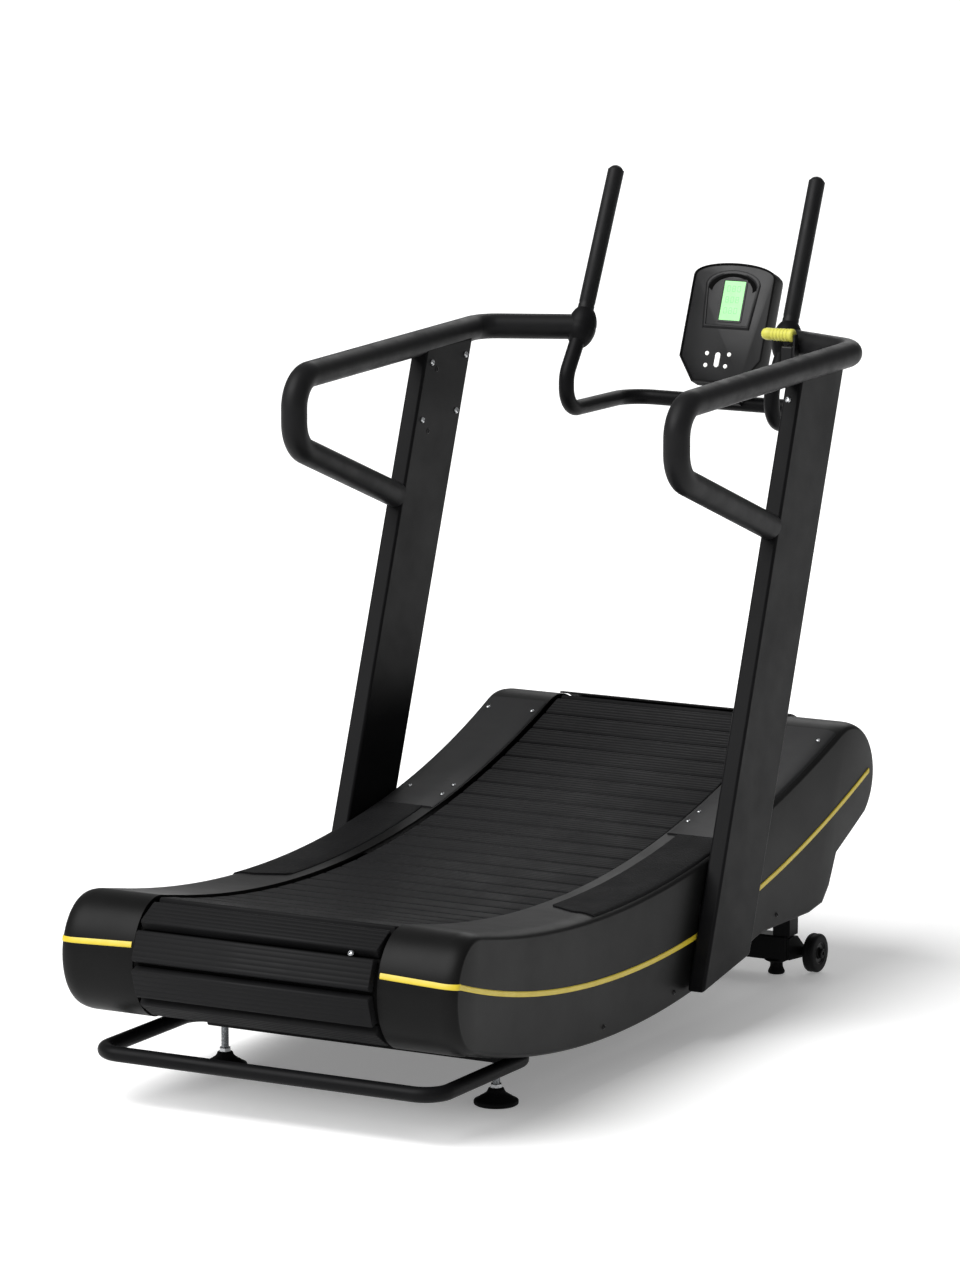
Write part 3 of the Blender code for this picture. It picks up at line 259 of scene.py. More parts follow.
# Smooth moulded ABS for the console's face: darker and a little glossier than the shell round it.
FACE_ABS = Finish("black_abs_moulded_smooth", "101011", "141415", (0.32, 0.42), shine=0.22, patch_mm=60.0,
                  grain_mm=0.5, grain_height_mm=0.006, grain_strength=0.3)
# Vulcanised rubber of the slats: deep black, dull, dusty in patches from shoes.
SLAT_RUBBER = Finish("black_rubber_vulcanised", "101011", "141415", (0.55, 0.70), shine=0.12, patch_mm=110.0,
                     grain_mm=1.1, grain_height_mm=0.06, grain_strength=0.5, rub_tone="292827", rub_amount=0.3,
                     rub_stretch=(0.3, 1.0, 1.0))
# The web that carries the slats: cloth-backed rubber, the darkest surface of all.
WEB_RUBBER = Finish("black_rubber_cloth_backed", "060606", "080808", (0.80, 0.90), shine=0.05, patch_mm=50.0,
                    grain_mm=1.5, grain_height_mm=0.08, grain_strength=0.5)
# Studded rubber of the foot pads: small round studs that break the light up.
STUD_RUBBER = Finish("black_rubber_studded", "0d0d0e", "111112", (0.66, 0.80), shine=0.10, patch_mm=80.0,
                     grain_mm=1.0, grain_height_mm=0.05, grain_strength=0.5, weave_mm=4.5, weave_height_mm=0.35,
                     rub_tone="262524", rub_amount=0.25)
# Steel sheet for the top plates, coated a shade lighter than the covers and nearly smooth.
PLATE_COAT = Finish("graphite_plate_coat_baked", "161617", "1a1a1b", (0.46, 0.56), shine=0.18, patch_mm=120.0,
                    grain_mm=1.2, grain_height_mm=0.03, grain_strength=0.45, rub_tone="2e2e2e", rub_amount=0.25,
                    rub_stretch=(1.0, 0.15, 1.0))
# Yellow strip, moulded in its own colour, so that the colour runs right through it.
YELLOW_STRIP = Finish("yellow_abs_moulded", "cfba34", "c5ae2c", (0.32, 0.44), shine=0.4, patch_mm=40.0,
                      grain_mm=0.7, grain_height_mm=0.012, grain_strength=0.4)
# Yellow grip of the lever: softer and brighter than the strip.
YELLOW_GRIP = Finish("yellow_rubber_moulded", "ccca54", "c4bf4c", (0.40, 0.52), shine=0.4, patch_mm=25.0,
                     grain_mm=0.9, grain_height_mm=0.03, grain_strength=0.5)
# Zinc plate on bolts, studs and nuts: bright, slightly clouded steel.
ZINC = Finish("zinc_plated_steel", "c9cbcd", "b2b4b6", (0.20, 0.34), metal=1.0, patch_mm=8.0, grain_mm=0.7,
              grain_height_mm=0.008, grain_strength=0.4)
# Turned steel of drums, disc and bearings: bright with turning marks.
TURNED_STEEL = Finish("steel_turned", "a9abad", "97999b", (0.28, 0.42), metal=1.0, patch_mm=30.0, grain_mm=0.6,
                      grain_height_mm=0.01, grain_strength=0.5)
# Black socket screws: oiled, darker and shinier than the coat round them.
BLACK_SCREW = Finish("black_oxide_steel", "1a1a1b", "242425", (0.30, 0.42), metal=0.6, patch_mm=10.0, grain_mm=0.6,
                     grain_height_mm=0.01, grain_strength=0.4)
# The display's liquid crystal behind its window: pale green, with a painted glow that brightens it though it is no
# lamp.
DISPLAY_GREEN_PAINTED_GLOW = Finish("green_liquid_crystal", "93dd90", "8ad788", (0.18, 0.26), shine=0.3, patch_mm=22.0,
                       grain_mm=0.5, grain_height_mm=0.002, grain_strength=0.2, glow=0.22)
# The darkened segments of the display, with a painted glow that brightens them though they are no lamp.
DISPLAY_INK_PAINTED_GLOW = Finish("dark_green_segments", "66b070", "5fa869", (0.24, 0.30), patch_mm=20.0, grain_mm=0.5,
                     grain_height_mm=0.002, grain_strength=0.2, glow=0.15)
# White key caps: silicone, matt, with a painted glow that brightens them though they are no lamps.
KEY_WHITE_PAINTED_GLOW = Finish("white_silicone_moulded", "efefec", "e4e4e1", (0.42, 0.52), shine=0.5, patch_mm=8.0,
                   grain_mm=0.5, grain_height_mm=0.01, grain_strength=0.3, glow=0.2)
# Floor of the studio: a pale, even sweep.
PALE_FLOOR = Finish("pale_floor_paint", "f7f7f7", "f5f5f5", (0.80, 0.88), shine=0.1, patch_mm=900.0, grain_mm=3.0,
                    grain_height_mm=0.02, grain_strength=0.1, glow=0.25)


@dataclass
class Workshop:
    """Turns bmeshes into finished pieces on the frame, and keeps count of them.

    Attributes:
        datum: The move from the drawing datum to the frame.
    """

    datum: Vector
    materials: dict[str, bpy.types.Material] = field(default_factory=dict)
    made: list[bpy.types.Object] = field(default_factory=list)

    def paint(self, finish: Finish) -> bpy.types.Material:
        """The material of a finish, made once and shared."""
        if finish.name not in self.materials:
            self.materials[finish.name] = finish.build()
        return self.materials[finish.name]

    def add(self, name: str, bm: BMesh, finish: Finish, slot: Slot, body: str = "frame",
            stands_for: Sequence[str] = (), edge: float = 0.0, sharp: float = 35.0) -> bpy.types.Object:
        """Makes a piece from a bmesh drawn at the datum, dresses it and puts it on a body of the frame.

        Args:
            name: The piece's name.
            bm: Its shape. It is freed here.
            finish: What it is finished in.
            slot: Not used.
            body: The body it moves with.
            stands_for: The CAD nodes it is shown in place of.
            edge: Width of the rounding on sharp edges, or nought for none.
            sharp: Edges that turn by more degrees than this stay sharp.

        Returns:
            The finished object.
        """
        bmesh.ops.translate(bm, verts=bm.verts, vec=self.datum)
        bmesh.ops.recalc_face_normals(bm, faces=bm.faces)
        mesh = bpy.data.meshes.new(name)
        bm.to_mesh(mesh)
        bm.free()
        mesh.materials.append(self.paint(finish))
        mesh.shade_smooth()
        mesh.set_sharp_from_angle(angle=math.radians(sharp))
        item = bpy.data.objects.new(name, mesh)
        bpy.context.scene.collection.objects.link(item)
        if edge:
            rounding = item.modifiers.new("edge", "BEVEL")
            rounding.width = edge
            rounding.segments = SEGMENTS
            rounding.limit_method = "ANGLE"
            rounding.angle_limit = BEVEL_ABOVE
            rounding.harden_normals = True
        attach(item, body)
        if stands_for:
            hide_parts(*stands_for)
        self.made.append(item)
        LOG.info("%s on %s: %d faces", name, body, len(mesh.polygons))
        return item

    def dress(self, node: bpy.types.Object, finish: Finish) -> None:
        """Gives a CAD node that stays in view its finish."""
        node.data.materials.clear()
        node.data.materials.append(self.paint(finish))


def skin(bm: BMesh, sections: Sequence[Sequence[Point]], capped: bool = True) -> None:
    """Joins closed sections with the same number of points into one surface."""
    rings = [[bm.verts.new(point) for point in section] for section in sections]
    for one, two in zip(rings, rings[1:]):
        for index in range(len(one)):
            after = (index + 1) % len(one)
            bm.faces.new((one[index], one[after], two[after], two[index]))
    if capped:
        bm.faces.new(rings[0])
        bm.faces.new(rings[-1])


def plate(bm: BMesh, outline: Outline, low: float, high: float) -> None:
    """Extrudes an outline in the YZ plane along X."""
    face = bm.faces.new([bm.verts.new((low, y, z)) for y, z in outline])
    swept = bmesh.ops.extrude_face_region(bm, geom=[face])
    moved = [item for item in swept["geom"] if isinstance(item, bmesh.types.BMVert)]
    bmesh.ops.translate(bm, verts=moved, vec=(high - low, 0.0, 0.0))


def block(bm: BMesh, low: Point, high: Point, rounding: float = 0.0) -> None:
    """Adds a box with rounded edges."""
    size = Vector(high) - Vector(low)
    made = bmesh.ops.create_cube(bm, size=1.0, matrix=Matrix.Translation((Vector(high) + Vector(low)) / 2)
                                 @ Matrix.Diagonal((*size, 1.0)))
    if rounding:
        edges = list({edge for vert in made["verts"] for edge in vert.link_edges})
        bmesh.ops.bevel(bm, geom=edges, offset=rounding, segments=SEGMENTS, profile=0.5, affect="EDGES", material=-1,
                        clamp_overlap=True)


def turn(bm: BMesh, profile: Outline, place: Matrix, sides: int = 40) -> None:
    """Spins a profile round the Z axis of a place.

    Args:
        bm: The bmesh it is added to.
        profile: (distance along the axis, radius) pairs.
        place: Where the axis stands.
        sides: How many steps the turn takes.
    """
    closed = profile[0][1] > 0.0
    points = [bm.verts.new((radius, 0.0, along)) for along, radius in profile]
    pairs = list(zip(points, points[1:])) + ([(points[-1], points[0])] if closed else [])
    edges = [bm.edges.new(pair) for pair in pairs]
    before = set(bm.verts) - set(points)
    bmesh.ops.spin(bm, geom=points + edges, cent=(0, 0, 0), axis=(0, 0, 1), angle=math.tau, steps=sides,
                   use_merge=True)
    fresh = [vert for vert in bm.verts if vert not in before]
    bmesh.ops.remove_doubles(bm, verts=fresh, dist=WELD)
    fresh = [vert for vert in bm.verts if vert not in before]
    bmesh.ops.transform(bm, matrix=place, verts=fresh)


def turned(profile: Outline, place: Matrix, sides: int = 40) -> BMesh:
    """A bmesh that holds one turned shape."""
    bm = bmesh.new()
    turn(bm, profile, place, sides)
    return bm


def along_x(centre: Point, side: int = 1) -> Matrix:
    """A place at centre whose Z axis points along X, outwards on that side."""
    return Matrix.Translation(centre) @ Matrix.Rotation(math.pi / 2 * side, 4, "Y")


def facing(centre: Point, way: Point) -> Matrix:
    """A place at centre whose Z axis points the given way."""
    return Matrix.Translation(centre) @ Vector(way).to_track_quat("Z", "Y").to_matrix().to_4x4()


def round_corners(corners: Sequence[Point], radii: Sequence[float], step: float = 5.0) -> list[Vector]:
    """A path of straight runs whose corners are rounded.

    Args:
        corners: The corners, with both ends.
        radii: The radius at each inner corner.
        step: Degrees between points on an arc.

    Returns:
        The path's points.
    """
    points = [Vector(corners[0])]
    for before, corner, after, radius in zip(corners, corners[1:], corners[2:], radii):
        before, corner, after = Vector(before), Vector(corner), Vector(after)
        arriving, leaving = (corner - before).normalized(), (after - corner).normalized()
        angle = arriving.angle(leaving)
        start = corner - arriving * radius * math.tan(angle / 2)
        axis = arriving.cross(leaving).normalized()
        centre = start + axis.cross(arriving) * radius
        count = max(4, round(math.degrees(angle) / step))
        for index in range(count + 1):
            points.append(centre + Matrix.Rotation(angle * index / count, 3, axis) @ (start - centre))
    points.append(Vector(corners[-1]))
    return points


def tube(bm: BMesh, path: Sequence[Vector], radius: float, sides: int = 36, round_end: bool = False,
         swell: Sequence[tuple[float, float]] = ()) -> None:
    """Sweeps a round section along a path without twisting it.

    Args:
        bm: The bmesh it is added to.
        path: The points it follows.
        radius: Its radius.
        sides: Points round it.
        round_end: True to close its far end in a dome.
        swell: (share of the length, factor on the radius) pairs, where it isn't the same all along.
    """
    points, scales = [Vector(point) for point in path], [1.0] * len(path)
    if swell:
        first, last = points[0], points[-1]
        points = [first.lerp(last, share) for share, _ in swell]
        scales = [factor for _, factor in swell]
    if round_end:
        tip, factor = points.pop(), scales.pop()
        heading = (tip - points[-1]).normalized()
        for angle in [math.radians(degrees) for degrees in (0, 15, 30, 45, 60, 75, 86)]:
            points.append(tip - heading * radius * (1 - math.sin(angle)))
            scales.append(factor * math.cos(angle))
    heading = (points[1] - points[0]).normalized()
    across = heading.orthogonal().normalized()
    sections = []
    for index, (point, scale) in enumerate(zip(points, scales)):
        ahead = points[min(index + 1, len(points) - 1)] - points[max(index - 1, 0)]
        ahead.normalize()
        across = (heading.rotation_difference(ahead) @ across).normalized()
        heading = ahead
        up = heading.cross(across)
        sections.append([point + (across * math.cos(angle) + up * math.sin(angle)) * radius * scale
                         for angle in spread(0.0, math.tau, sides + 1)[:-1]])
    skin(bm, sections)


def socket_screw(bm: BMesh, place: Matrix, radius: float) -> None:
    """A button head screw with a recess, standing on its place."""
    height = radius * 0.55
    head = [(height * along, radius * wide) for along, wide in SCREW_HEAD]
    turn(bm, [(-0.001, 0.0), (-0.001, radius)] + head, place, 20)


@dataclass
class Deck:
    """The running surface's arc and the drums at its ends, which the belt and the covers share."""

    arc_y: float = -0.2345
    arc_z: float = 2.78
    arc_radius: float = 2.47
    end_radius: float = 0.1035
    rear_y: float = -0.793
    front_y: float = 0.700

    def height(self, y: float, below: float = 0.0) -> float:
        """Height of the line that lies `below` the running surface at y."""
        radius = self.arc_radius + below
        return self.arc_z - math.sqrt(radius ** 2 - (y - self.arc_y) ** 2)

    @property
    def rear_z(self) -> float:
        """Height of the rear drum's axis."""
        return self.height(self.rear_y, self.end_radius)

    @property
    def front_z(self) -> float:
        """Height of the front drum's axis."""
        return self.height(self.front_y, self.end_radius)


@dataclass
class RunningBelt:
    """Rubber slats on a web, round both drums."""

    shop: Workshop
    deck: Deck
    half_width: float = 0.238
    slat_height: float = 0.018
    web: float = 0.003
    count: int = 61
    gap: float = 0.0030
    first_gap: float = math.radians(138.7)
    rib_count: int = 5
    rib_depth: float = 0.0003
    corner: float = 0.0046
    end_rounding: float = 0.0016
    end_pull: float = 0.03
    end_drop: float = 0.6
    seat: float = 0.0005
    rib_margin: float = 0.004
    rib_half: float = 0.0016
    rib_floor: float = 0.0009
    web_steps: int = 4
    web_lift: float = 0.0008
    web_reach: float = 0.0065
    screw_x: float = 0.188
    screw_radius: float = 0.0062
    screw_sink: float = 0.003

    def station(self, distance: float) -> tuple[Vector, Vector, float]:
        """Where the pitch line is at a distance along it from the top of the rear drum.

        Args:
            distance: The distance in metres.

        Returns:
            The place and the outward direction as (y, z), and the whole length.
        """
        deck = self.deck
        pitch_radius = deck.end_radius - self.slat_height
        rear = math.asin((deck.rear_y - deck.arc_y) / (deck.arc_radius + deck.end_radius))
        front = math.asin((deck.front_y - deck.arc_y) / (deck.arc_radius + deck.end_radius))
        upper = deck.arc_radius + self.slat_height
        lower = deck.arc_radius + 2 * deck.end_radius - self.slat_height
        runs = (upper * (front - rear), math.pi * pitch_radius, lower * (front - rear), math.pi * pitch_radius)
        total = sum(runs)
        distance %= total
        centre = Vector((deck.arc_y, deck.arc_z))
        if distance < runs[0]:
            angle = rear + distance / upper
            down = Vector((math.sin(angle), -math.cos(angle)))
            return centre + down * upper, -down, total
        distance -= runs[0]
        if distance < runs[1]:
            heading = front + math.pi / 2 - distance / pitch_radius
            out = Vector((math.cos(heading), math.sin(heading)))
            return Vector((deck.front_y, deck.front_z)) + out * pitch_radius, out, total
        distance -= runs[1]
        if distance < runs[2]:
            angle = front - distance / lower
            down = Vector((math.sin(angle), -math.cos(angle)))
            return centre + down * lower, down, total
        distance -= runs[2]
        heading = rear - math.pi / 2 - distance / pitch_radius
        out = Vector((math.cos(heading), math.sin(heading)))
        return Vector((deck.rear_y, deck.rear_z)) + out * pitch_radius, out, total

    def phase(self) -> float:
        """Distance along the belt of the first gap between slats."""
        rear = math.asin((self.deck.rear_y - self.deck.arc_y) / (self.deck.arc_radius + self.deck.end_radius))
        return (rear + math.pi / 2 - self.first_gap) * (self.deck.end_radius - self.slat_height)

    def slat_section(self, half: float) -> Outline:
        """A slat's section: rounded top corners and shallow ribs along the top.

        Args:
            half: Half of the slat's width.

        Returns:
            Its outline as (along, outwards) points.
        """
        points = [(-half, self.seat)]
        for angle in spread(math.pi, math.pi / 2, 5):
            points.append((-half + self.corner + self.corner * math.cos(angle),
                           self.slat_height - self.corner + self.corner * math.sin(angle)))
        reach, edge, floor = half - self.corner - self.rib_margin, self.rib_half, self.rib_floor
        for middle in spread(-reach, reach, self.rib_count):
            for step, depth in ((-edge, 0.0), (-floor, 1.0), (floor, 1.0), (edge, 0.0)):
                points.append((middle + step, self.slat_height - depth * self.rib_depth))
        for angle in spread(math.pi / 2, 0.0, 5):
            points.append((half - self.corner + self.corner * math.cos(angle),
                           self.slat_height - self.corner + self.corner * math.sin(angle)))
        points.append((half, self.seat))
        return points

    def build(self) -> None:
        """Makes the slats and the web under them."""
        total = self.station(0.0)[2]
        pitch = total / self.count
        section = self.slat_section(pitch / 2 - self.gap / 2)
        bm = bmesh.new()
        for index in range(self.count):
            place, out, _ = self.station(self.phase() + pitch * (index + 0.5))
            along = Vector((out.y, -out.x))
            rings = []
            for x, shrink in ((-self.half_width, self.end_rounding), (-self.half_width + self.end_rounding, 0.0),
                              (self.half_width - self.end_rounding, 0.0), (self.half_width, self.end_rounding)):
                pull, drop = 1 - shrink / self.end_pull, shrink * self.end_drop
                spots = [place + along * (sideways * pull) + out * (outwards - drop)
                         for sideways, outwards in section]
                rings.append([(x, spot.x, spot.y) for spot in spots])
            skin(bm, rings)
        self.shop.add("belt_slats", bm, SLAT_RUBBER, Slot.RUBBER, stands_for=["running_belt"], sharp=50)
        place, out, _ = self.station(self.phase())
        seat = place + out * (self.slat_height - self.screw_sink)
        bm = bmesh.new()
        socket_screw(bm, facing((self.screw_x, seat.x, seat.y), (0.0, out.x, out.y)), self.screw_radius)
        self.shop.add("belt_joint_screw", bm, ZINC, Slot.BARE)
        bm = bmesh.new()
        steps = self.count * self.web_steps
        rings = []
        for index in range(steps + 1):
            place, out, _ = self.station(self.phase() + total * index / steps)
            inner, outer = place - out * self.web, place + out * self.web_lift
            reach = self.half_width + self.web_reach
            rings.append([(-reach, inner.x, inner.y), (reach, inner.x, inner.y), (reach, outer.x, outer.y),
                          (-reach, outer.x, outer.y)])
        skin(bm, rings, capped=False)
        bmesh.ops.remove_doubles(bm, verts=bm.verts, dist=WELD)
        self.shop.add("belt_web", bm, WEB_RUBBER, Slot.RUBBER)


@dataclass
class CoverShape:
    """The moulded side cover's curves."""

    deck: Deck
    inner: float = 0.246
    side: float = 0.3780
    flare_rear: float = 0.021
    flare_front: float = 0.012
    wall: float = 0.004
    corner: float = 0.034
    corner_drop: float = 0.38
    above: float = 0.004
    rear_nose: float = 0.088
    front_nose: float = 0.106
    bottom_y: float = -0.200
    bottom_z: float = 0.074
    bottom_radius: float = 2.13
    bottom_level: float = 0.144
    bottom_end: float = 0.545
    bottom_inner: float = 0.3065
    flare_from: float = 0.25
    nose_steps: int = 19
    chin_steps: int = 14
    chin_angle: float = math.radians(-50)
    between: int = 40
    stripe_low_y: float = -0.16
    stripe_low_z: float = 0.187
    stripe_radius: float = 2.3
    step: tuple[tuple[float, float], ...] = ((0.596, 0.153), (0.626, 0.184), (0.654, 0.241), (0.712, 0.270))

    @property
    def nose_height(self) -> float:
        """How high the ends stand over the drums' axes."""
        return self.deck.end_radius + self.above

    @property
    def rear_end(self) -> float:
        """Y of the cover's rearmost line."""
        return self.deck.rear_y - self.rear_nose

    @property
    def front_end(self) -> float:
        """Y of the cover's foremost line."""
        return self.deck.front_y + self.front_nose

    def bottom(self, y: float) -> float:
        """Height of the lower edge: an arc, then a level stretch."""
        arc = self.bottom_z + self.bottom_radius - math.sqrt(self.bottom_radius ** 2 - (y - self.bottom_y) ** 2)
        return arc if y < self.bottom_y else min(arc, self.bottom_level)

    def out(self, y: float) -> float:
        """How far out the side stands: it flares gently towards each end."""
        if y < 0.0:
            return self.side + self.flare_rear * (y / self.rear_end) ** 2
        share = max(0.0, y - self.flare_from) / (self.front_end - self.flare_from)
        return self.side + self.flare_front * share ** 2

    def profile(self) -> tuple[Outline, Outline]:
        """Top and bottom edges as matching points from the rear to the front.

        Returns:
            The top edge and the bottom edge, as (y, z) points.
        """
        deck = self.deck

        def nose(y: float, z: float, reach: float, height: float, first: float, last: float, count: int) -> Outline:
            """Part of an ellipse round a drum's axis."""
            return [(y + reach * math.cos(angle), z + height * math.sin(angle))
                    for angle in spread(first, last, count)]

        rear = math.atan2(deck.arc_z - deck.rear_z, deck.arc_y - deck.rear_y)
        front = math.atan2(deck.arc_z - deck.front_z, deck.arc_y - deck.front_y)
        top = nose(deck.rear_y, deck.rear_z, self.rear_nose, self.nose_height, math.pi, rear, self.nose_steps)
        head = nose(deck.front_y, deck.front_z, self.front_nose, self.nose_height, front, 0.0, self.nose_steps)
        for y in spread(top[-1][0], head[0][0], self.between + 2)[1:-1]:
            top.append((y, deck.height(y) + self.above))
        below = deck.rear_z - self.bottom(deck.rear_y)
        bottom = nose(deck.rear_y, deck.rear_z, self.rear_nose, below, math.pi, 1.5 * math.pi,
                      self.nose_steps)
        for y in spread(deck.rear_y, self.bottom_end, self.between + 2)[1:]:
            bottom.append((y, self.bottom(y)))
        bottom += self.step
        chin = nose(deck.front_y, deck.front_z, self.front_nose, self.nose_height, self.chin_angle, 0.0,
                    self.chin_steps)
        return top + head, bottom + chin

    def edge_height(self, y: float) -> float:
        """Height of the top edge at y."""
        top = self.profile()[0]
        for (low_y, low_z), (high_y, high_z) in zip(top, top[1:]):
            if low_y <= y <= high_y:
                return low_z + (high_z - low_z) * (y - low_y) / max(high_y - low_y, 1e-9)
        return top[-1][1]

    def skin_height(self, x: float, y: float) -> float:
        """Height of the upper skin, which falls away over the rounded outer corner."""
        share = min(1.0, max(0.0, (x - self.out(y) + self.corner) / self.corner))
        return self.edge_height(y) - self.corner * self.corner_drop * (1 - math.sqrt(1 - share ** 2))

    def rear_face(self, z: float) -> float:
        """Y of the rear face at height z, above the drum's axis."""
        share = (z - self.deck.rear_z) / (self.nose_height if z > self.deck.rear_z
                                          else self.deck.rear_z - self.bottom(self.deck.rear_y))
        return self.deck.rear_y - self.rear_nose * math.sqrt(max(0.0, 1 - share ** 2))

    def stripe_height(self, y: float) -> float:
        """Height of the stripe's middle along the side."""
        radius = self.stripe_radius
        return self.stripe_low_z + radius - math.sqrt(radius ** 2 - (y - self.stripe_low_y) ** 2)


@dataclass
class SideCovers:
    """The moulded shell on each side with its foot pad, top plate, stripe and screws."""

    shop: Workshop
    shape: CoverShape
    stripe_width: float = 0.010
    stripe_depth: float = 0.0019
    pad_rear: float = -0.325
    pad_front: float = 0.198
    pad_inner: float = 0.271
    plate_front: float = 0.655
    plate_inner: float = 0.249
    plate_rear: float = 0.2005
    tread_thickness: float = 0.0033
    plate_thickness: float = 0.0028
    stations: int = 60
    slant: float = 0.03
    slant_share: float = 0.55
    open_rear: float = 0.10
    open_front: float = 0.02
    wrap_inner: float = 0.0055
    wrap_outer: float = 0.0085
    wrap_angles: tuple[float, float] = (math.radians(87), math.radians(-62))
    wrap_play: float = 0.0004
    plate_screws: tuple[tuple[float, float], ...] = ((0.260, 0.618), (0.357, 0.618), (0.262, 0.262), (0.262, 0.307),
                                                     (0.345, 0.285))
    plate_screw_radius: float = 0.0042
    plate_screw_lift: float = 0.0024
    side_screws: tuple[float, ...] = (-0.30, -0.02, 0.40)
    side_screw_radius: float = 0.0045
    side_screw_lift: float = 0.030

    def build(self) -> None:
        """Makes both sides and the plate round the front drum."""
        for side in Side:
            self.shell(side)
            self.strip(side, "foot_tread", self.pad_rear, self.pad_front, self.pad_inner, self.tread_thickness,
                       STUD_RUBBER, Slot.RUBBER, f"foot_pad_{side.word}", slanted=True)
            self.strip(side, "deck_plate", self.plate_rear, self.plate_front, self.plate_inner, self.plate_thickness,
                       PLATE_COAT, Slot.PLASTIC, f"top_plate_{side.word}")
            self.stripe(side)
            self.screws(side)
        self.front_cover()

    def moved_in(self, ring: Outline, amount: float) -> Outline:
        """A closed outline moved inwards by an amount."""
        moved = []
        for index, (y, z) in enumerate(ring):
            before, after = Vector(ring[index - 1]), Vector(ring[(index + 1) % len(ring)])
            run = (after - before).normalized()
            moved.append((y + run.y * amount, z - run.x * amount))
        return moved

    def shell(self, side: Side) -> None:
        """The shell itself, open towards the belt."""
        shape = self.shape
        top, bottom = shape.profile()
        ring = top + bottom[-2:0:-1]
        closed_rear, closed_front = shape.deck.rear_y + self.open_rear, shape.deck.front_y - self.open_front

        def layer(points: Outline, back: float) -> list[Point]:
            """A ring at a distance inside the side face."""
            return [(side.value * (shape.out(point[0]) - back), *point) for point in points]

        def rim(points: Outline) -> list[Point]:
            """The inner edge: next to the belt on top and at the ends, narrow along the bottom."""
            made = []
            for index, (y, z) in enumerate(points):
                wide = index < len(top) or y < closed_rear or y > closed_front
                made.append((side.value * (shape.inner if wide else shape.bottom_inner), y, z))
            return made

        layers = [rim(ring)]
        for angle in spread(0.0, math.pi / 2, 10):
            drop = shape.corner * shape.corner_drop * (1 - math.cos(angle))
            layers.append(layer(self.moved_in(ring, drop), shape.corner * (1 - math.sin(angle))))
        inside = [layer(self.moved_in(ring, shape.corner * shape.corner_drop + 0.002), shape.wall),
                  layer(self.moved_in(ring, shape.wall), shape.corner), rim(self.moved_in(ring, shape.wall))]
        bm = bmesh.new()
        count = len(ring)
        outer = [[bm.verts.new(point) for point in points] for points in layers]
        inner = [[bm.verts.new(point) for point in points] for points in inside]
        for chain in (outer, inner, [outer[0], inner[-1]]):
            for one, two in zip(chain, chain[1:]):
                for index in range(count):
                    after = (index + 1) % count
                    bm.faces.new((one[index], one[after], two[after], two[index]))
        for end in (outer[-1], inner[0]):
            for index in range(len(top) - 1):
                corners = [end[index], end[index + 1], end[(count - index - 1) % count], end[(count - index) % count]]
                bm.faces.new(list(dict.fromkeys(corners)))
        self.shop.add(f"cover_shell_{side.word}", bm, MOULDED_ABS, Slot.PLASTIC,
                      stands_for=[f"side_cover_{side.word}"], sharp=38)

    def strip(self, side: Side, name: str, low: float, high: float, inner: float, thick: float, finish: Finish,
              slot: Slot, node: str, slanted: bool = False) -> None:
        """A sheet laid on the top of a cover, over onto its rounded outer corner.

        Args:
            side: Which side it is on.
            name: The piece's name without its side.
            low: Y of its rear end.
            high: Y of its front end.
            inner: X of its inner edge.
            thick: Its thickness.
            finish: Its finish.
            slot: Its slot.
            node: The CAD node it stands for.
            slanted: True to cut its rear end on a slant, further back on the outside.
        """
        shape = self.shape
        bm = bmesh.new()
        sections = []
        for y in spread(low, high, self.stations):
            rest = 0.0
            if slanted and y < low + self.slant:
                rest = self.slant_share * (1 - (y - low) / self.slant)
            outer_x = shape.out(y)
            stops = [inner + (outer_x - shape.corner - inner) * share for share in (0.0, 0.04, 0.5, 0.96)]
            stops += [outer_x - shape.corner * share for share in (0.90, 0.75, 0.6, 0.48, 0.37, 0.28, 0.21)]
            if rest:
                start = inner + (stops[-1] - inner) * rest
                stops = [max(stop, start + (stop - inner) * 0.02) for stop in stops]
            under = [(x, shape.skin_height(x, y) - SUNK) for x in stops]
            over = []
            for index, (x, z) in enumerate(reversed(under)):
                lip = 0.35 if index in (0, len(under) - 1) else 1.0
                over.append((x, z + thick * lip))
            sections.append([(side.value * x, y, z) for x, z in under + over])
        skin(bm, sections)
        self.shop.add(f"{name}_{side.word}", bm, finish, slot, stands_for=[node], sharp=50)

    def stripe(self, side: Side) -> None:
        """The thin strip from the rear face, round the corner and along the side."""
        shape = self.shape
        z = shape.stripe_height(shape.rear_end)
        rear_y = shape.rear_face(z)
        drop = shape.corner * shape.corner_drop
        corner_z = shape.stripe_height(rear_y + drop)
        start = shape.inner + 0.004
        end = shape.out(rear_y)
        places = [(x, rear_y, Vector((0.0, -1.0))) for x in spread(start, end - shape.corner, 8)[:-1]]
        for angle in spread(0.0, math.pi / 2, 14):
            out = Vector((math.sin(angle) * drop, -math.cos(angle) * shape.corner)).normalized()
            places.append((end - shape.corner * (1 - math.sin(angle)), rear_y + drop * (1 - math.cos(angle)), out))
        route = [((x, y, z + (corner_z - z) * (x - start) / (end - start)), out, True) for x, y, out in places]
        for y in spread(rear_y + drop + 0.004, shape.front_end - 0.031, 120):
            route.append(((shape.out(y), y, shape.stripe_height(y)), Vector((1.0, 0.0)), False))
        bm = bmesh.new()
        sections = []
        for (x, y, z), out, on_rear in route:
            section = []
            for off, up in ((-0.0006, -0.5), (0.0010, -0.5), (self.stripe_depth, -0.34), (self.stripe_depth, 0.34),
                            (0.0010, 0.5), (-0.0006, 0.5)):
                height = z + up * self.stripe_width
                lean = shape.rear_face(height) - shape.rear_face(z) if on_rear else 0.0
                section.append((side.value * (x + out.x * off), y + lean + out.y * off, height))
            sections.append(section)
        skin(bm, sections)
        self.shop.add(f"cover_stripe_{side.word}", bm, YELLOW_STRIP, Slot.YELLOW,
                      stands_for=[f"stripe_{side.word}"], sharp=28)

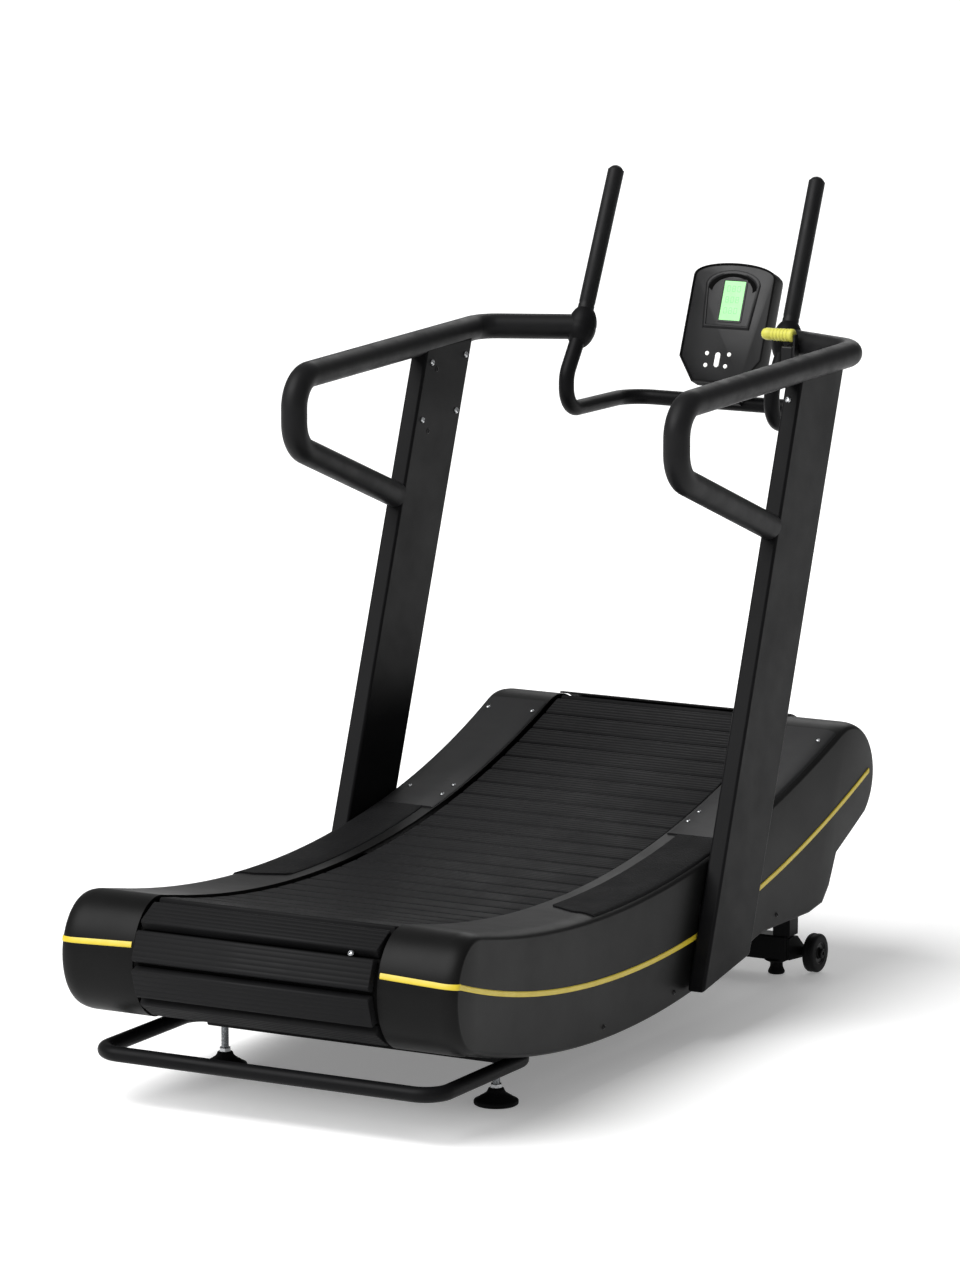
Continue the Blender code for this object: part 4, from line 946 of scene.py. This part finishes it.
    def screws(self, side: Side) -> None:
        """The screws that hold the top plate and the cover down."""
        shape = self.shape
        bm = bmesh.new()
        for x, y in self.plate_screws:
            slope = math.asin((y - shape.deck.arc_y) / shape.deck.arc_radius)
            seat = (side.value * x, y, shape.skin_height(x, y) + self.plate_screw_lift)
            socket_screw(bm, facing(seat, (0.0, -math.sin(slope), math.cos(slope))), self.plate_screw_radius)
        self.shop.add(f"plate_screws_{side.word}", bm, ZINC, Slot.BARE)
        bm = bmesh.new()
        for y in self.side_screws:
            z = shape.bottom(y) + self.side_screw_lift
            socket_screw(bm, along_x((side.value * shape.out(y), y, z), side.value), self.side_screw_radius)
        self.shop.add(f"side_screws_{side.word}", bm, BLACK_SCREW, Slot.BARE)

    def front_cover(self) -> None:
        """The curved plate round the front drum, between the two covers."""
        deck = self.shape.deck
        inner, outer = deck.end_radius + self.wrap_inner, deck.end_radius + self.wrap_outer
        angles = spread(*self.wrap_angles, 40)
        outline = [(deck.front_y + outer * math.cos(angle), deck.front_z + outer * math.sin(angle))
                   for angle in angles]
        outline += [(deck.front_y + inner * math.cos(angle), deck.front_z + inner * math.sin(angle))
                    for angle in reversed(angles)]
        bm = bmesh.new()
        reach = self.shape.inner - self.wrap_play
        plate(bm, outline, -reach, reach)
        self.shop.add("front_wrap", bm, MOULDED_ABS, Slot.PLASTIC, stands_for=["front_end_cover"], sharp=40)


@dataclass
class Uprights:
    """The leaning columns with their screws."""

    shop: Workshop
    inner: float = 0.3802
    outer: float = 0.4145
    lean: float = 0.36
    rear_at_floor: float = -0.0099
    depth: float = 0.179
    top: float = 1.196
    rounding: float = 0.0055
    foot: tuple[float, float] = (0.103, 0.137)
    screw_radius: float = 0.0062
    screw_spots: tuple[tuple[float, float], ...] = ((0.437, 1.165), (0.569, 1.165), (0.398, 1.059), (0.530, 1.061))
    hole_spots: tuple[tuple[float, float], ...] = ((0.455, 1.150), (0.420, 1.035))
    rear_screw: tuple[float, float] = (0.012, 1.150)

    def outline(self) -> Outline:
        """A column's outline seen from the side, as (y, z)."""
        corners = []
        for z, edge in ((self.foot[0], 0.0), (self.foot[1], 1.0), (self.top, 1.0), (self.top, 0.0)):
            corners.append((self.rear_at_floor + self.lean * z + edge * self.depth, z))
        return corners

    def build(self) -> None:
        """Makes both columns."""
        for side in Side:
            bm = bmesh.new()
            low, high = sorted((side.value * self.inner, side.value * self.outer))
            plate(bm, self.outline(), low, high)
            self.shop.add(f"column_{side.word}", bm, POWDER_COAT, Slot.STEEL, stands_for=[f"upright_{side.word}"],
                          edge=self.rounding)
            self.screws(side)

    def screws(self, side: Side) -> None:
        """The screws and the empty adjusting holes on the column's faces."""
        bm = bmesh.new()
        for y, z in self.screw_spots:
            socket_screw(bm, along_x((side.value * self.inner, y, z), -side.value), self.screw_radius)
        inwards, z = self.rear_screw
        rear = (side.value * (self.inner + inwards), self.rear_at_floor + self.lean * z, z)
        if side is Side.RIGHT:
            socket_screw(bm, facing(rear, (0.0, -1.0, self.lean)), self.screw_radius)
        self.shop.add(f"column_screws_{side.word}", bm, ZINC, Slot.BARE)
        bm = bmesh.new()
        for y, z in self.hole_spots:
            place = along_x((side.value * (self.inner - 0.0002), y, z), -side.value)
            turn(bm, [(-0.002, 0.0), (-0.002, 0.0052), (0.0004, 0.0052), (0.0006, 0.0044), (-0.0012, 0.0040),
                      (-0.0012, 0.0)], place, 20)
        self.shop.add(f"column_holes_{side.word}", bm, BLACK_SCREW, Slot.BARE)


@dataclass
class HandRails:
    """Hand rails, knuckles, push bars and the bar that carries the console."""

    shop: Workshop
    rail_x: float = 0.3965
    rail_radius: float = 0.0245
    clamp: Vector = field(default_factory=lambda: Vector((0.221, 0.7460, 1.2085)))
    clamp_radius: float = 0.0285
    clamp_half: float = 0.044
    bar_top: Vector = field(default_factory=lambda: Vector((0.217, 0.8840, 1.5095)))
    bar_radius: float = 0.016
    cross_radius: float = 0.015
    cross_y: float = 0.945
    cross_z: float = 1.050
    rail_front: float = 0.6670
    rail_rear: float = -0.0570
    rail_level: tuple[float, float, float] = (0.02, 1.1945, 0.021)
    rail_flare: float = 0.006
    loop_z: float = 1.067
    rail_end: tuple[float, float] = (0.3208, 0.9245)
    rail_bends: tuple[float, ...] = (0.055, 0.058, 0.062)
    drop_y: float = 0.683
    drop_zs: tuple[float, float] = (1.122, 1.053)
    cross_bends: tuple[float, ...] = (0.050, 0.045, 0.055)
    step: float = 4.0

    def on(self, side: Side, points: Sequence[Point]) -> list[Vector]:
        """Points drawn for the right side, put on the given side."""
        return [Vector((side.value * point[0], point[1], point[2])) for point in points]

    def height(self, y: float) -> float:
        """Height of the rail's upper run at y."""
        level_y, level_z, slope = self.rail_level
        return level_z + (y - level_y) * slope

    def build(self) -> None:
        """Makes both sides and the crossbar."""
        for side in Side:
            self.rail(side)
            self.knuckle(side)
            self.push_bar(side)
        self.crossbar()

    def rail(self, side: Side) -> None:
        """A rail from the knuckle back over the column, round its loop and onto the column's rear face."""
        x, front, rear = self.rail_x, self.rail_front, self.rail_rear
        corners = [self.clamp, (x + self.rail_flare, front, self.height(front)), (x, rear, self.height(rear)),
                   (x, rear, self.loop_z), (x, *self.rail_end)]
        bm = bmesh.new()
        tube(bm, round_corners(self.on(side, corners), self.rail_bends, self.step), self.rail_radius, 44)
        self.shop.add(f"rail_tube_{side.word}", bm, WRINKLE_COAT, Slot.STEEL, stands_for=[f"handrail_{side.word}"],
                      sharp=60)

    def knuckle(self, side: Side) -> None:
        """The egg-shaped knuckle where three tubes meet, with a parting line round it."""
        centre, tip = self.on(side, (self.clamp, self.bar_top))
        bm = bmesh.new()
        profile = []
        for angle in spread(-math.pi / 2, math.pi / 2, 33):
            radius = self.clamp_radius * max(0.0, math.cos(angle))
            if abs(math.sin(angle)) < 0.03:
                radius -= 0.0007
            profile.append((self.clamp_half * math.sin(angle), radius if 0.02 < math.cos(angle) else 0.0))
        turn(bm, profile, facing(centre, tip - centre), 40)
        self.shop.add(f"knuckle_{side.word}", bm, POWDER_COAT, Slot.STEEL,
                      stands_for=[f"push_bar_clamp_{side.word}"], sharp=60)

    def push_bar(self, side: Side) -> None:
        """The bar that stands up and forwards from the knuckle, with a domed end."""
        bm = bmesh.new()
        shares = ((0.0, 1.0), (0.13, 1.0), (0.14, 0.95), (0.15, 1.0), (0.5, 1.0), (0.97, 1.0), (1.0, 1.0))
        tube(bm, self.on(side, (self.clamp, self.bar_top)), self.bar_radius, 40, round_end=True, swell=shares)
        self.shop.add(f"grip_bar_{side.word}", bm, WRINKLE_COAT, Slot.STEEL, stands_for=[f"push_bar_{side.word}"],
                      sharp=60)

    def crossbar(self) -> None:
        """The bent bar from one knuckle, down, forwards, across behind the console and back."""
        x = self.clamp.x
        half = [self.clamp, *((x, self.drop_y, z) for z in self.drop_zs), (x, self.cross_y, self.cross_z)]
        corners = self.on(Side.RIGHT, half) + self.on(Side.LEFT, list(reversed(half)))
        bm = bmesh.new()
        tube(bm, round_corners(corners, self.cross_bends + self.cross_bends[::-1], self.step), self.cross_radius, 36)
        self.shop.add("console_bar", bm, POWDER_COAT, Slot.STEEL, stands_for=["console_crossbar"], sharp=60)


@dataclass
class Console:
    """The console: a domed shell, a face with a recess, the display and its keys."""

    shop: Workshop
    tilt: float = math.radians(22.0)
    centre: tuple[float, float, float] = (0.0, 0.9485, 1.250)
    half_width: float = 0.089
    depth: float = 0.045
    display: tuple[float, float] = (0.045, 0.079)
    display_x: float = 0.004
    foot: float = -0.166
    foot_half: float = 0.054
    waist: float = -0.117
    shoulder: float = 0.045
    dome: float = 0.031
    corner_steps: int = 8
    crown: float = 0.030
    arch_rings: tuple[tuple[float, ...], ...] = ((0.060, 0.062, -0.058, 0.0006), (0.0575, 0.0595, -0.0555, 0.0026),
                                                 (0.0530, 0.055, -0.051, 0.0026), (0.0515, 0.0535, -0.0495, 0.0012))
    # Curves of the dark crescent sheet of painted shade under the arch.
    hood_curves: tuple[tuple[float, float, float], ...] = ((0.0525, 0.0245, 0.030), (0.0440, 0.0180, 0.0300))
    bezel_rings: tuple[tuple[float, float, float], ...] = ((0.010, 0.005, 0.0008), (0.008, 0.004, 0.0022),
                                                           (0.002, 0.002, 0.0022), (-0.0006, 0.0012, 0.0002))
    key_rings: tuple[tuple[float, float, float, float], ...] = ((1.0, 1.0, 1.0, -0.006), (1.0, 1.0, 1.0, 0.0012),
                                                                (0.92, 0.97, 0.9, 0.0020),
                                                                (0.70, 0.88, 0.65, 0.0022))
    keys: dict[str, tuple[float, float, float, float]] = field(default_factory=lambda: {
        "mode_button": (-0.030, -0.108, 0.0085, 0.0085), "reset_button": (-0.029, -0.132, 0.0085, 0.0085),
        "start_button": (-0.006, -0.120, 0.0110, 0.0300), "set_button": (0.018, -0.108, 0.0085, 0.0085),
        "stop_button": (0.014, -0.132, 0.0085, 0.0085)})

    def place(self) -> Matrix:
        """Turns the console's own axes into the machine's: X across, Y up the face, Z out of it."""
        return Matrix.Translation(self.centre) @ Matrix.Rotation(math.pi / 2 - self.tilt, 4, "X")

    def outline(self, inset: float) -> Outline:
        """The console's outline in its own plane."""
        half, foot, waist = self.half_width, self.foot + inset, self.waist + inset * 0.4
        foot_half = self.foot_half - inset * 0.7
        corners = [(-foot_half, foot), (foot_half, foot), (half - inset, waist)]
        for angle in spread(0.0, math.pi, 33):
            lift = self.dome * max(0.0, math.sin(angle)) ** 0.8
            corners.append(((half - inset) * math.cos(angle), self.shoulder + lift - inset * math.sin(angle)))
        corners.append((-(half - inset), waist))
        return corners

    def stack(self, layers: Sequence[tuple[Outline, float]], close_last: bool = True) -> BMesh:
        """A solid through outlines at rising depths in the console's own axes."""
        bm = bmesh.new()
        skin(bm, [[(x, y, z) for x, y in outline] for outline, z in layers], close_last)
        bmesh.ops.transform(bm, matrix=self.place(), verts=bm.verts)
        return bm

    def rounded(self, x: float, y: float, width: float, height: float, radius: float) -> Outline:
        """A rectangle with rounded corners."""
        points = []
        for index, (way_x, way_y) in enumerate(((1, 1), (-1, 1), (-1, -1), (1, -1))):
            corner_x, corner_y = x + way_x * (width / 2 - radius), y + way_y * (height / 2 - radius)
            for angle in spread(index * math.pi / 2, (index + 1) * math.pi / 2, self.corner_steps):
                points.append((corner_x + radius * math.cos(angle), corner_y + radius * math.sin(angle)))
        return points

    def build(self) -> None:
        """Makes the shell, the face, the display and the keys."""
        back = -self.depth
        shell = self.stack([(self.outline(inset), z) for inset, z in (
            (0.010, back), (0.0045, back + 0.0025), (0.0012, back + 0.008), (0.0, back + 0.016), (0.0, 0.0010),
            (0.0008, 0.0032), (0.0022, 0.0040), (0.0036, 0.0030), (0.0040, -0.0006))])
        self.shop.add("console_shell", shell, MOULDED_ABS, Slot.PLASTIC, stands_for=["console_housing"], sharp=45)
        self.face()
        self.screen()
        # The key caps' finish carries a painted glow, which brightens them though they are no lamps.
        for node, (x, y, width, height) in self.keys.items():
            radius = width / 2 - 1e-5
            cap = self.stack([(self.rounded(x, y, width * across, height * up, radius * turn_in), z)
                              for across, up, turn_in, z in self.key_rings])
            self.shop.add(node.replace("_button", "_key"), cap, KEY_WHITE_PAINTED_GLOW, Slot.WHITE, body=node,
                          stands_for=[node], sharp=60)

    def face(self) -> None:
        """The face: a dark plate with an arched recess round the display."""
        bm = bmesh.new()
        skin(bm, [[(x, y, z) for x, y in self.outline(inset)] for inset, z in ((0.0038, -0.003), (0.0038, 0.0004),
                                                                               (0.0052, 0.0010))])
        bmesh.ops.transform(bm, matrix=self.place(), verts=bm.verts)
        self.shop.add("console_fascia", bm, FACE_ABS, Slot.PLASTIC, stands_for=["console_face"], sharp=45)
        bm = self.stack([(self.arch(half, top, foot), z) for half, top, foot, z in self.arch_rings], False)
        self.shop.add("console_arch", bm, FACE_ABS, Slot.PLASTIC, sharp=40)
        self.hood()

    def hood(self) -> None:
        """A dark crescent sheet under the arch: painted shade standing in for the shaded hollow over the display."""
        bm = bmesh.new()
        outer, inner = [[(half * math.cos(angle), middle + rise * math.sin(angle))
                         for angle in spread(0.0, math.pi, 31)] for half, middle, rise in self.hood_curves]
        crescent = outer + inner[::-1]
        skin(bm, [[(x, y, z) for x, y in crescent] for z in (0.0006, 0.0015)])
        bmesh.ops.transform(bm, matrix=self.place(), verts=bm.verts)
        # The darkest rubber finish laid where the hollow only holds shade: painted shade.
        self.shop.add("console_hood", bm, WEB_RUBBER, Slot.PLASTIC, sharp=50)

    def arch(self, half: float, top: float, foot: float) -> Outline:
        """An arched outline: straight sides and foot, and a low round top."""
        points = [(-half * 0.86, foot), (half * 0.86, foot)]
        for angle in spread(0.0, math.pi, 25):
            points.append((half * math.cos(angle), top - self.crown + self.crown * math.sin(angle)))
        return points

    def screen(self) -> None:
        """The display, its bezel and a few plain segments."""
        width, height = self.display
        x = self.display_x
        rings = [(self.rounded(x, 0.0, width + wider, height + wider, radius), z)
                 for wider, radius, z in self.bezel_rings]
        self.shop.add("display_bezel", self.stack(rings, False), FACE_ABS, Slot.PLASTIC, sharp=40)
        # The panel's finish carries a painted glow, which brightens it though it is no lamp.
        glass = self.stack([(self.rounded(x, 0.0, width, height, 0.0012), -0.0040),
                            (self.rounded(x, 0.0, width, height, 0.0012), 0.00115)])
        self.shop.add("display_panel", glass, DISPLAY_GREEN_PAINTED_GLOW, Slot.GLASS, stands_for=["console_display"])
        bm = bmesh.new()
        for row, y in enumerate((0.024, 0.002, -0.020)):
            for column, left in enumerate((-0.012, -0.001, 0.010)):
                self.digit(bm, x + left, y, 8 if (row + column) % 2 else 0)
        bmesh.ops.transform(bm, matrix=self.place(), verts=bm.verts)
        self.shop.add("display_segments", bm, DISPLAY_INK_PAINTED_GLOW, Slot.GLASS)

    def digit(self, bm: BMesh, x: float, y: float, value: int) -> None:
        """One figure of thin bars, either a nought or an eight."""
        wide, tall, thick = 0.0030, 0.0056, 0.0005
        bars = [(0.0, tall, wide, thick), (0.0, -tall, wide, thick)]
        bars += [(way_x * wide, way_y * tall / 2, thick, tall / 2 - thick) for way_x in (-1, 1) for way_y in (-1, 1)]
        if value == 8:
            bars.append((0.0, 0.0, wide, thick))
        for middle_x, middle_y, half_x, half_y in bars:
            block(bm, (x + middle_x - half_x, y + middle_y - half_y, 0.0010),
                  (x + middle_x + half_x, y + middle_y + half_y, 0.0013))


@dataclass
class Lever:
    """The grip of the resistance lever."""

    shop: Workshop
    pivot: tuple[float, float, float] = (0.254, 0.688, 1.190)
    reach: float = 0.0405
    length: float = 0.068
    radius: float = 0.0125

    def build(self) -> None:
        """Makes the grip, a barrel with shallow rings."""
        x, y, z = self.pivot
        end = x + 0.0115
        profile = [(end, 0.0), (end, self.radius * 0.72), (end - 0.0015, self.radius * 0.92),
                   (end - 0.004, self.radius)]
        for index in range(6):
            at = end - 0.011 - index * 0.007
            swell = self.radius * (1.0 - 0.012 * index)
            profile += [(at + 0.0022, swell), (at + 0.0010, swell - 0.0009), (at - 0.0010, swell - 0.0009),
                        (at - 0.0022, swell)]
        profile += [(end - self.length + 0.009, self.radius * 0.92), (end - self.length + 0.003, self.radius * 0.74),
                    (end - self.length + 0.0008, self.radius * 0.5), (end - self.length, self.radius * 0.25),
                    (end - self.length, 0.0)]
        bm = turned(profile, along_x((0.0, y, z + self.reach - 0.002)), 40)
        self.shop.add("lever_grip", bm, YELLOW_GRIP, Slot.YELLOW, body="resistance_lever",
                      stands_for=["lever_knob"], sharp=40)


@dataclass
class GroundGear:
    """Floor beams, the lift bar, the feet and the transport wheels."""

    shop: Workshop
    rear_y: float = -0.5145
    front_y: float = 0.6400
    rear_foot_x: float = 0.279
    front_foot_x: float = 0.262
    rear_beam: tuple[float, float, float] = (0.3060, 0.079, 0.1075)
    front_beam: tuple[float, float, float] = (0.2915, 0.029, 0.078)
    beam_depth: float = 0.040
    lift_x: float = 0.344
    lift_y: float = -0.849
    lift_z: float = 0.0945
    lift_radius: float = 0.0140
    pad_radius: float = 0.040
    wheel: tuple[float, float, float] = (0.325, 0.6795, 0.0390)
    wheel_radius: float = 0.0375
    wheel_half: float = 0.0115
    lift_bends: tuple[float, ...] = (0.036, 0.045, 0.045, 0.036)
    nut: tuple[float, float] = (0.0303, 0.0380)
    thread_low: float = 0.0375
    thread_radii: tuple[float, float] = (0.0060, 0.0070)
    thread_turns: int = 28
    arm_thickness: float = 0.006
    arm_eye: float = 0.012

    def build(self) -> None:
        """Makes everything that stands on the floor."""
        for node, y, (reach, low, high) in (("rear_floor_beam", self.rear_y, self.rear_beam),
                                            ("front_floor_beam", self.front_y, self.front_beam)):
            bm = bmesh.new()
            block(bm, (-reach, y - self.beam_depth / 2, low), (reach, y + self.beam_depth / 2, high), 0.004)
            self.shop.add(node.replace("floor_beam", "beam_tube"), bm, POWDER_COAT, Slot.STEEL, stands_for=[node],
                          sharp=50)
        self.lift_bar()
        for side in Side:
            self.rear_foot(side)
            self.front_foot(side)
            self.transport_wheel(side)

    def lift_bar(self) -> None:
        """The bar that the machine is lifted by, bent in one plane."""
        half = [(self.rear_beam[0] - 0.004, self.rear_y, self.lift_z), (self.lift_x, self.rear_y, self.lift_z),
                (self.lift_x, self.lift_y, self.lift_z)]
        corners = half + [(-x, y, z) for x, y, z in reversed(half)]
        bm = bmesh.new()
        tube(bm, round_corners(corners, self.lift_bends, 4.0), self.lift_radius, 32)
        self.shop.add("lift_tube", bm, POWDER_COAT, Slot.STEEL, stands_for=["rear_lift_bar"], sharp=60)

    def rear_foot(self, side: Side) -> None:
        """A rubber pad with rings on its cone, and a threaded stud with a nut."""
        place = Matrix.Translation((side.value * self.rear_foot_x, self.rear_y, 0.0))
        radius = self.pad_radius
        profile = [(0.0, 0.0), (0.0, radius - 0.003), (0.0015, radius - 0.0006), (0.003, radius),
                   (0.0075, radius), (0.0088, radius - 0.0008), (0.0100, radius - 0.003), (0.0118, 0.033),
                   (0.0122, 0.0318), (0.0145, 0.0295), (0.0150, 0.0280), (0.0180, 0.0235), (0.0215, 0.0182),
                   (0.0250, 0.0156), (0.0290, 0.0142), (0.0300, 0.0130), (0.0300, 0.0)]
        bm = turned(profile, place, 48)
        self.shop.add(f"rear_pad_{side.word}", bm, STUD_RUBBER, Slot.RUBBER, body=f"{side.word}_rear_foot",
                      stands_for=[f"rear_foot_pad_{side.word}"], sharp=40)
        bm = bmesh.new()
        low, high = self.nut
        turn(bm, [(low, 0.0), (low, 0.0105), (0.0312, 0.0112), (0.0372, 0.0112), (high, 0.0105), (high, 0.0)],
             place, 6)
        root, crest = self.thread_radii
        first, top = self.thread_low, self.rear_beam[1] - SUNK
        thread = [(first, 0.0)]
        for index in range(self.thread_turns):
            low = first + (top - first) * index / self.thread_turns
            pitch = (top - first) / self.thread_turns
            thread += [(low, root), (low + pitch * 0.5, crest)]
        thread += [(top, root), (top, 0.0)]
        turn(bm, thread, place, 24)
        self.shop.add(f"rear_stud_{side.word}", bm, ZINC, Slot.BARE, body=f"{side.word}_rear_foot",
                      stands_for=[f"rear_foot_stud_{side.word}"], sharp=30)

    def front_foot(self, side: Side) -> None:
        """A small rubber foot, waisted, under the front beam."""
        top = self.front_beam[1] - SUNK
        profile = [(0.0, 0.0), (0.0, 0.0140), (0.0015, 0.0158), (0.004, 0.0165), (0.008, 0.0150), (0.012, 0.0130),
                   (0.015, 0.0122), (top - 0.007, 0.0122), (top - 0.004, 0.0180), (top - 0.0015, 0.0232),
                   (top, 0.0240), (top, 0.0)]
        bm = turned(profile, Matrix.Translation((side.value * self.front_foot_x, self.front_y, 0.0)), 40)
        self.shop.add(f"front_pad_{side.word}", bm, STUD_RUBBER, Slot.RUBBER, body=f"{side.word}_front_foot",
                      stands_for=[f"front_foot_{side.word}"], sharp=40)

    def transport_wheel(self, side: Side) -> None:
        """A wheel with a grooved tyre and a dished hub, on a bracket with its bolt."""
        x, y, z = self.wheel
        half, radius = self.wheel_half, self.wheel_radius
        place = along_x((side.value * x, y, z), side.value)
        bm = bmesh.new()
        tyre = [(-half, 0.0215), (-half, radius - 0.0045), (-half + 0.0012, radius - 0.0018),
                (-half + 0.0040, radius), (-0.0032, radius), (-0.0026, radius - 0.0010), (0.0026, radius - 0.0010),
                (0.0032, radius), (half - 0.0040, radius), (half - 0.0012, radius - 0.0018), (half, radius - 0.0045),
                (half, 0.0215)]
        turn(bm, tyre, place, 56)
        self.shop.add(f"wheel_tyre_{side.word}", bm, SLAT_RUBBER, Slot.RUBBER, body=f"{side.word}_wheel",
                      stands_for=[f"wheel_{side.word}"], sharp=40)
        bm = bmesh.new()
        hub = [(-half + 0.0012, 0.0060), (-half + 0.0012, 0.0215), (half - 0.0012, 0.0215),
               (half - 0.0012, 0.0195), (half - 0.0034, 0.0182), (half - 0.0034, 0.0118), (half - 0.0006, 0.0106),
               (half - 0.0006, 0.0060)]
        turn(bm, hub, place, 48)
        self.shop.add(f"wheel_hub_{side.word}", bm, FACE_ABS, Slot.RUBBER, body=f"{side.word}_wheel", sharp=40)
        self.wheel_bracket(side)

    def wheel_bracket(self, side: Side) -> None:
        """The bracket on the end of the front beam, with the bolt that the wheel turns on."""
        x, y, z = self.wheel
        half = self.wheel_half
        low = self.front_beam[0] + SUNK
        high = low + self.arm_thickness
        eye = self.arm_eye
        bm = bmesh.new()
        outline = [(self.front_y - 0.018, 0.074), (self.front_y - 0.018, 0.032), (y + 0.004, z - eye)]
        outline += [(y + eye * math.sin(angle), z - eye * math.cos(angle)) for angle in spread(0.5, 2.6, 8)]
        outline += [(y + 0.006, z + eye), (self.front_y + 0.018, 0.074)]
        ends = sorted((side.value * low, side.value * high))
        plate(bm, outline, *ends)
        bolt = [(low + 0.002, 0.0), (low + 0.002, 0.0088), (x - half - 0.0003, 0.0088), (x - half - 0.0003, 0.0055),
                (x + half + 0.0003, 0.0055), (x + half + 0.0003, 0.0098), (x + half + 0.0042, 0.0098),
                (x + half + 0.0058, 0.0080), (x + half + 0.0058, 0.0040), (x + half + 0.0035, 0.0036),
                (x + half + 0.0035, 0.0)]
        turn(bm, bolt, along_x((0.0, y, z), side.value), 28)
        self.shop.add(f"wheel_arm_{side.word}", bm, POWDER_COAT, Slot.STEEL,
                      stands_for=[f"wheel_bracket_{side.word}"], sharp=40)


@dataclass
class Studio:
    """Plain pale floor, soft light and the camera."""

    shop: Workshop
    camera_at: tuple[float, float, float] = (5.6267, -10.3633, 2.8373)
    ahead: tuple[float, float, float] = (-0.47407664, 0.86273421, -0.1759006)
    up: tuple[float, float, float] = (-0.0847, 0.1542, 0.9844)
    lens: float = 184.46
    sensor: float = 36.0
    floor_half: float = 30.0
    floor_drop: float = 0.0004
    room_strength: float = 0.28

    def build(self) -> None:
        """Makes the floor, the lights and the camera."""
        bm = bmesh.new()
        bmesh.ops.create_grid(bm, x_segments=2, y_segments=2, size=self.floor_half,
                              matrix=Matrix.Translation((0.0, 0.0, -self.floor_drop)))
        mesh = bpy.data.meshes.new("studio_floor")
        bm.to_mesh(mesh)
        bm.free()
        mesh.materials.append(self.shop.paint(PALE_FLOOR))
        floor = bpy.data.objects.new("studio_floor", mesh)
        bpy.context.scene.collection.objects.link(floor)
        self.sky_light("wide_key", (-2.2, -3.6, 4.6), 50.0, 3.9)
        self.light("soft_back", (-1.6, 5.4, 3.8), 3.0, 60.0)
        world = bpy.data.worlds.new("pale_room")
        world.use_nodes = True
        sky = world.node_tree.nodes["Background"]
        sky.inputs["Color"].default_value = (1.0, 1.0, 1.0, 1.0)
        sky.inputs["Strength"].default_value = self.room_strength
        bpy.context.scene.world = world
        bpy.context.scene.view_settings.view_transform = "Standard"
        self.camera()

    def sky_light(self, name: str, place: Point, width: float, strength: float) -> None:
        """A far, broad light that falls evenly on the whole floor."""
        lamp = bpy.data.lights.new(name, "SUN")
        lamp.angle = math.radians(width)
        lamp.energy = strength
        item = bpy.data.objects.new(name, lamp)
        item.location = place
        item.rotation_euler = (-Vector(place)).to_track_quat("-Z", "Y").to_euler()
        bpy.context.scene.collection.objects.link(item)

    def light(self, name: str, place: Point, size: float, power: float) -> None:
        """A square soft light that looks at the middle of the machine."""
        lamp = bpy.data.lights.new(name, "AREA")
        lamp.shape = "SQUARE"
        lamp.size = size
        lamp.energy = power
        item = bpy.data.objects.new(name, lamp)
        item.location = place
        item.rotation_euler = (Vector((0.0, 0.0, 0.6)) - Vector(place)).to_track_quat("-Z", "Y").to_euler()
        bpy.context.scene.collection.objects.link(item)

    def camera(self) -> None:
        """The camera: the longer side of its frame spans the sensor's width."""
        lens = bpy.data.cameras.new("camera")
        lens.lens = self.lens
        lens.sensor_fit = "AUTO"
        lens.sensor_width = self.sensor
        item = bpy.data.objects.new("camera", lens)
        back, up = -Vector(self.ahead).normalized(), Vector(self.up)
        right = up.cross(back).normalized()
        up = back.cross(right)
        turned = Matrix((right, up, back)).transposed()
        item.matrix_world = Matrix.Translation(self.camera_at) @ turned.to_4x4()
        bpy.context.scene.collection.objects.link(item)
        bpy.context.scene.camera = item


STAYS: dict[str, Finish] = {
    "rear_drum": TURNED_STEEL, "front_drum": TURNED_STEEL, "brake_disc": TURNED_STEEL, "magnet_yoke": POWDER_COAT,
    "rear_cross_member": POWDER_COAT, "front_cross_member": POWDER_COAT, "frame_rail_left": POWDER_COAT,
    "frame_rail_right": POWDER_COAT, "slat_guide_left": TURNED_STEEL, "slat_guide_right": TURNED_STEEL,
    "front_bearing_left": ZINC, "front_bearing_right": ZINC, "rear_bearing_left": ZINC, "rear_bearing_right": ZINC,
    "upright_bracket_left": POWDER_COAT, "upright_bracket_right": POWDER_COAT, "console_bracket": POWDER_COAT,
    "lever_housing": FACE_ABS, "lever_arm": BLACK_SCREW,
}


def clear_scene() -> None:
    """Empties the start-up scene."""
    for item in list(bpy.data.objects):
        bpy.data.objects.remove(item, do_unlink=True)


def main() -> None:
    """Loads the frame, builds each sub-assembly on it and lights it."""
    logging.basicConfig(level=logging.INFO, format="%(name)s: %(message)s")
    clear_scene()
    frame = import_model()
    deck = Deck()
    low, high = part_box("front_drum")
    shop = Workshop(Vector((0.0, (low.y + high.y) / 2 - deck.front_y, 0.0)))
    for node, finish in STAYS.items():
        shop.dress(frame["nodes"][node], finish)
    RunningBelt(shop, deck).build()
    SideCovers(shop, CoverShape(deck)).build()
    Uprights(shop).build()
    HandRails(shop).build()
    Console(shop).build()
    Lever(shop).build()
    GroundGear(shop).build()
    Studio(shop).build()
    bpy.context.view_layer.update()
    LOG.info("%d pieces made, %d nodes kept", len(shop.made), len(STAYS))


if __name__ == "__main__":
    main()
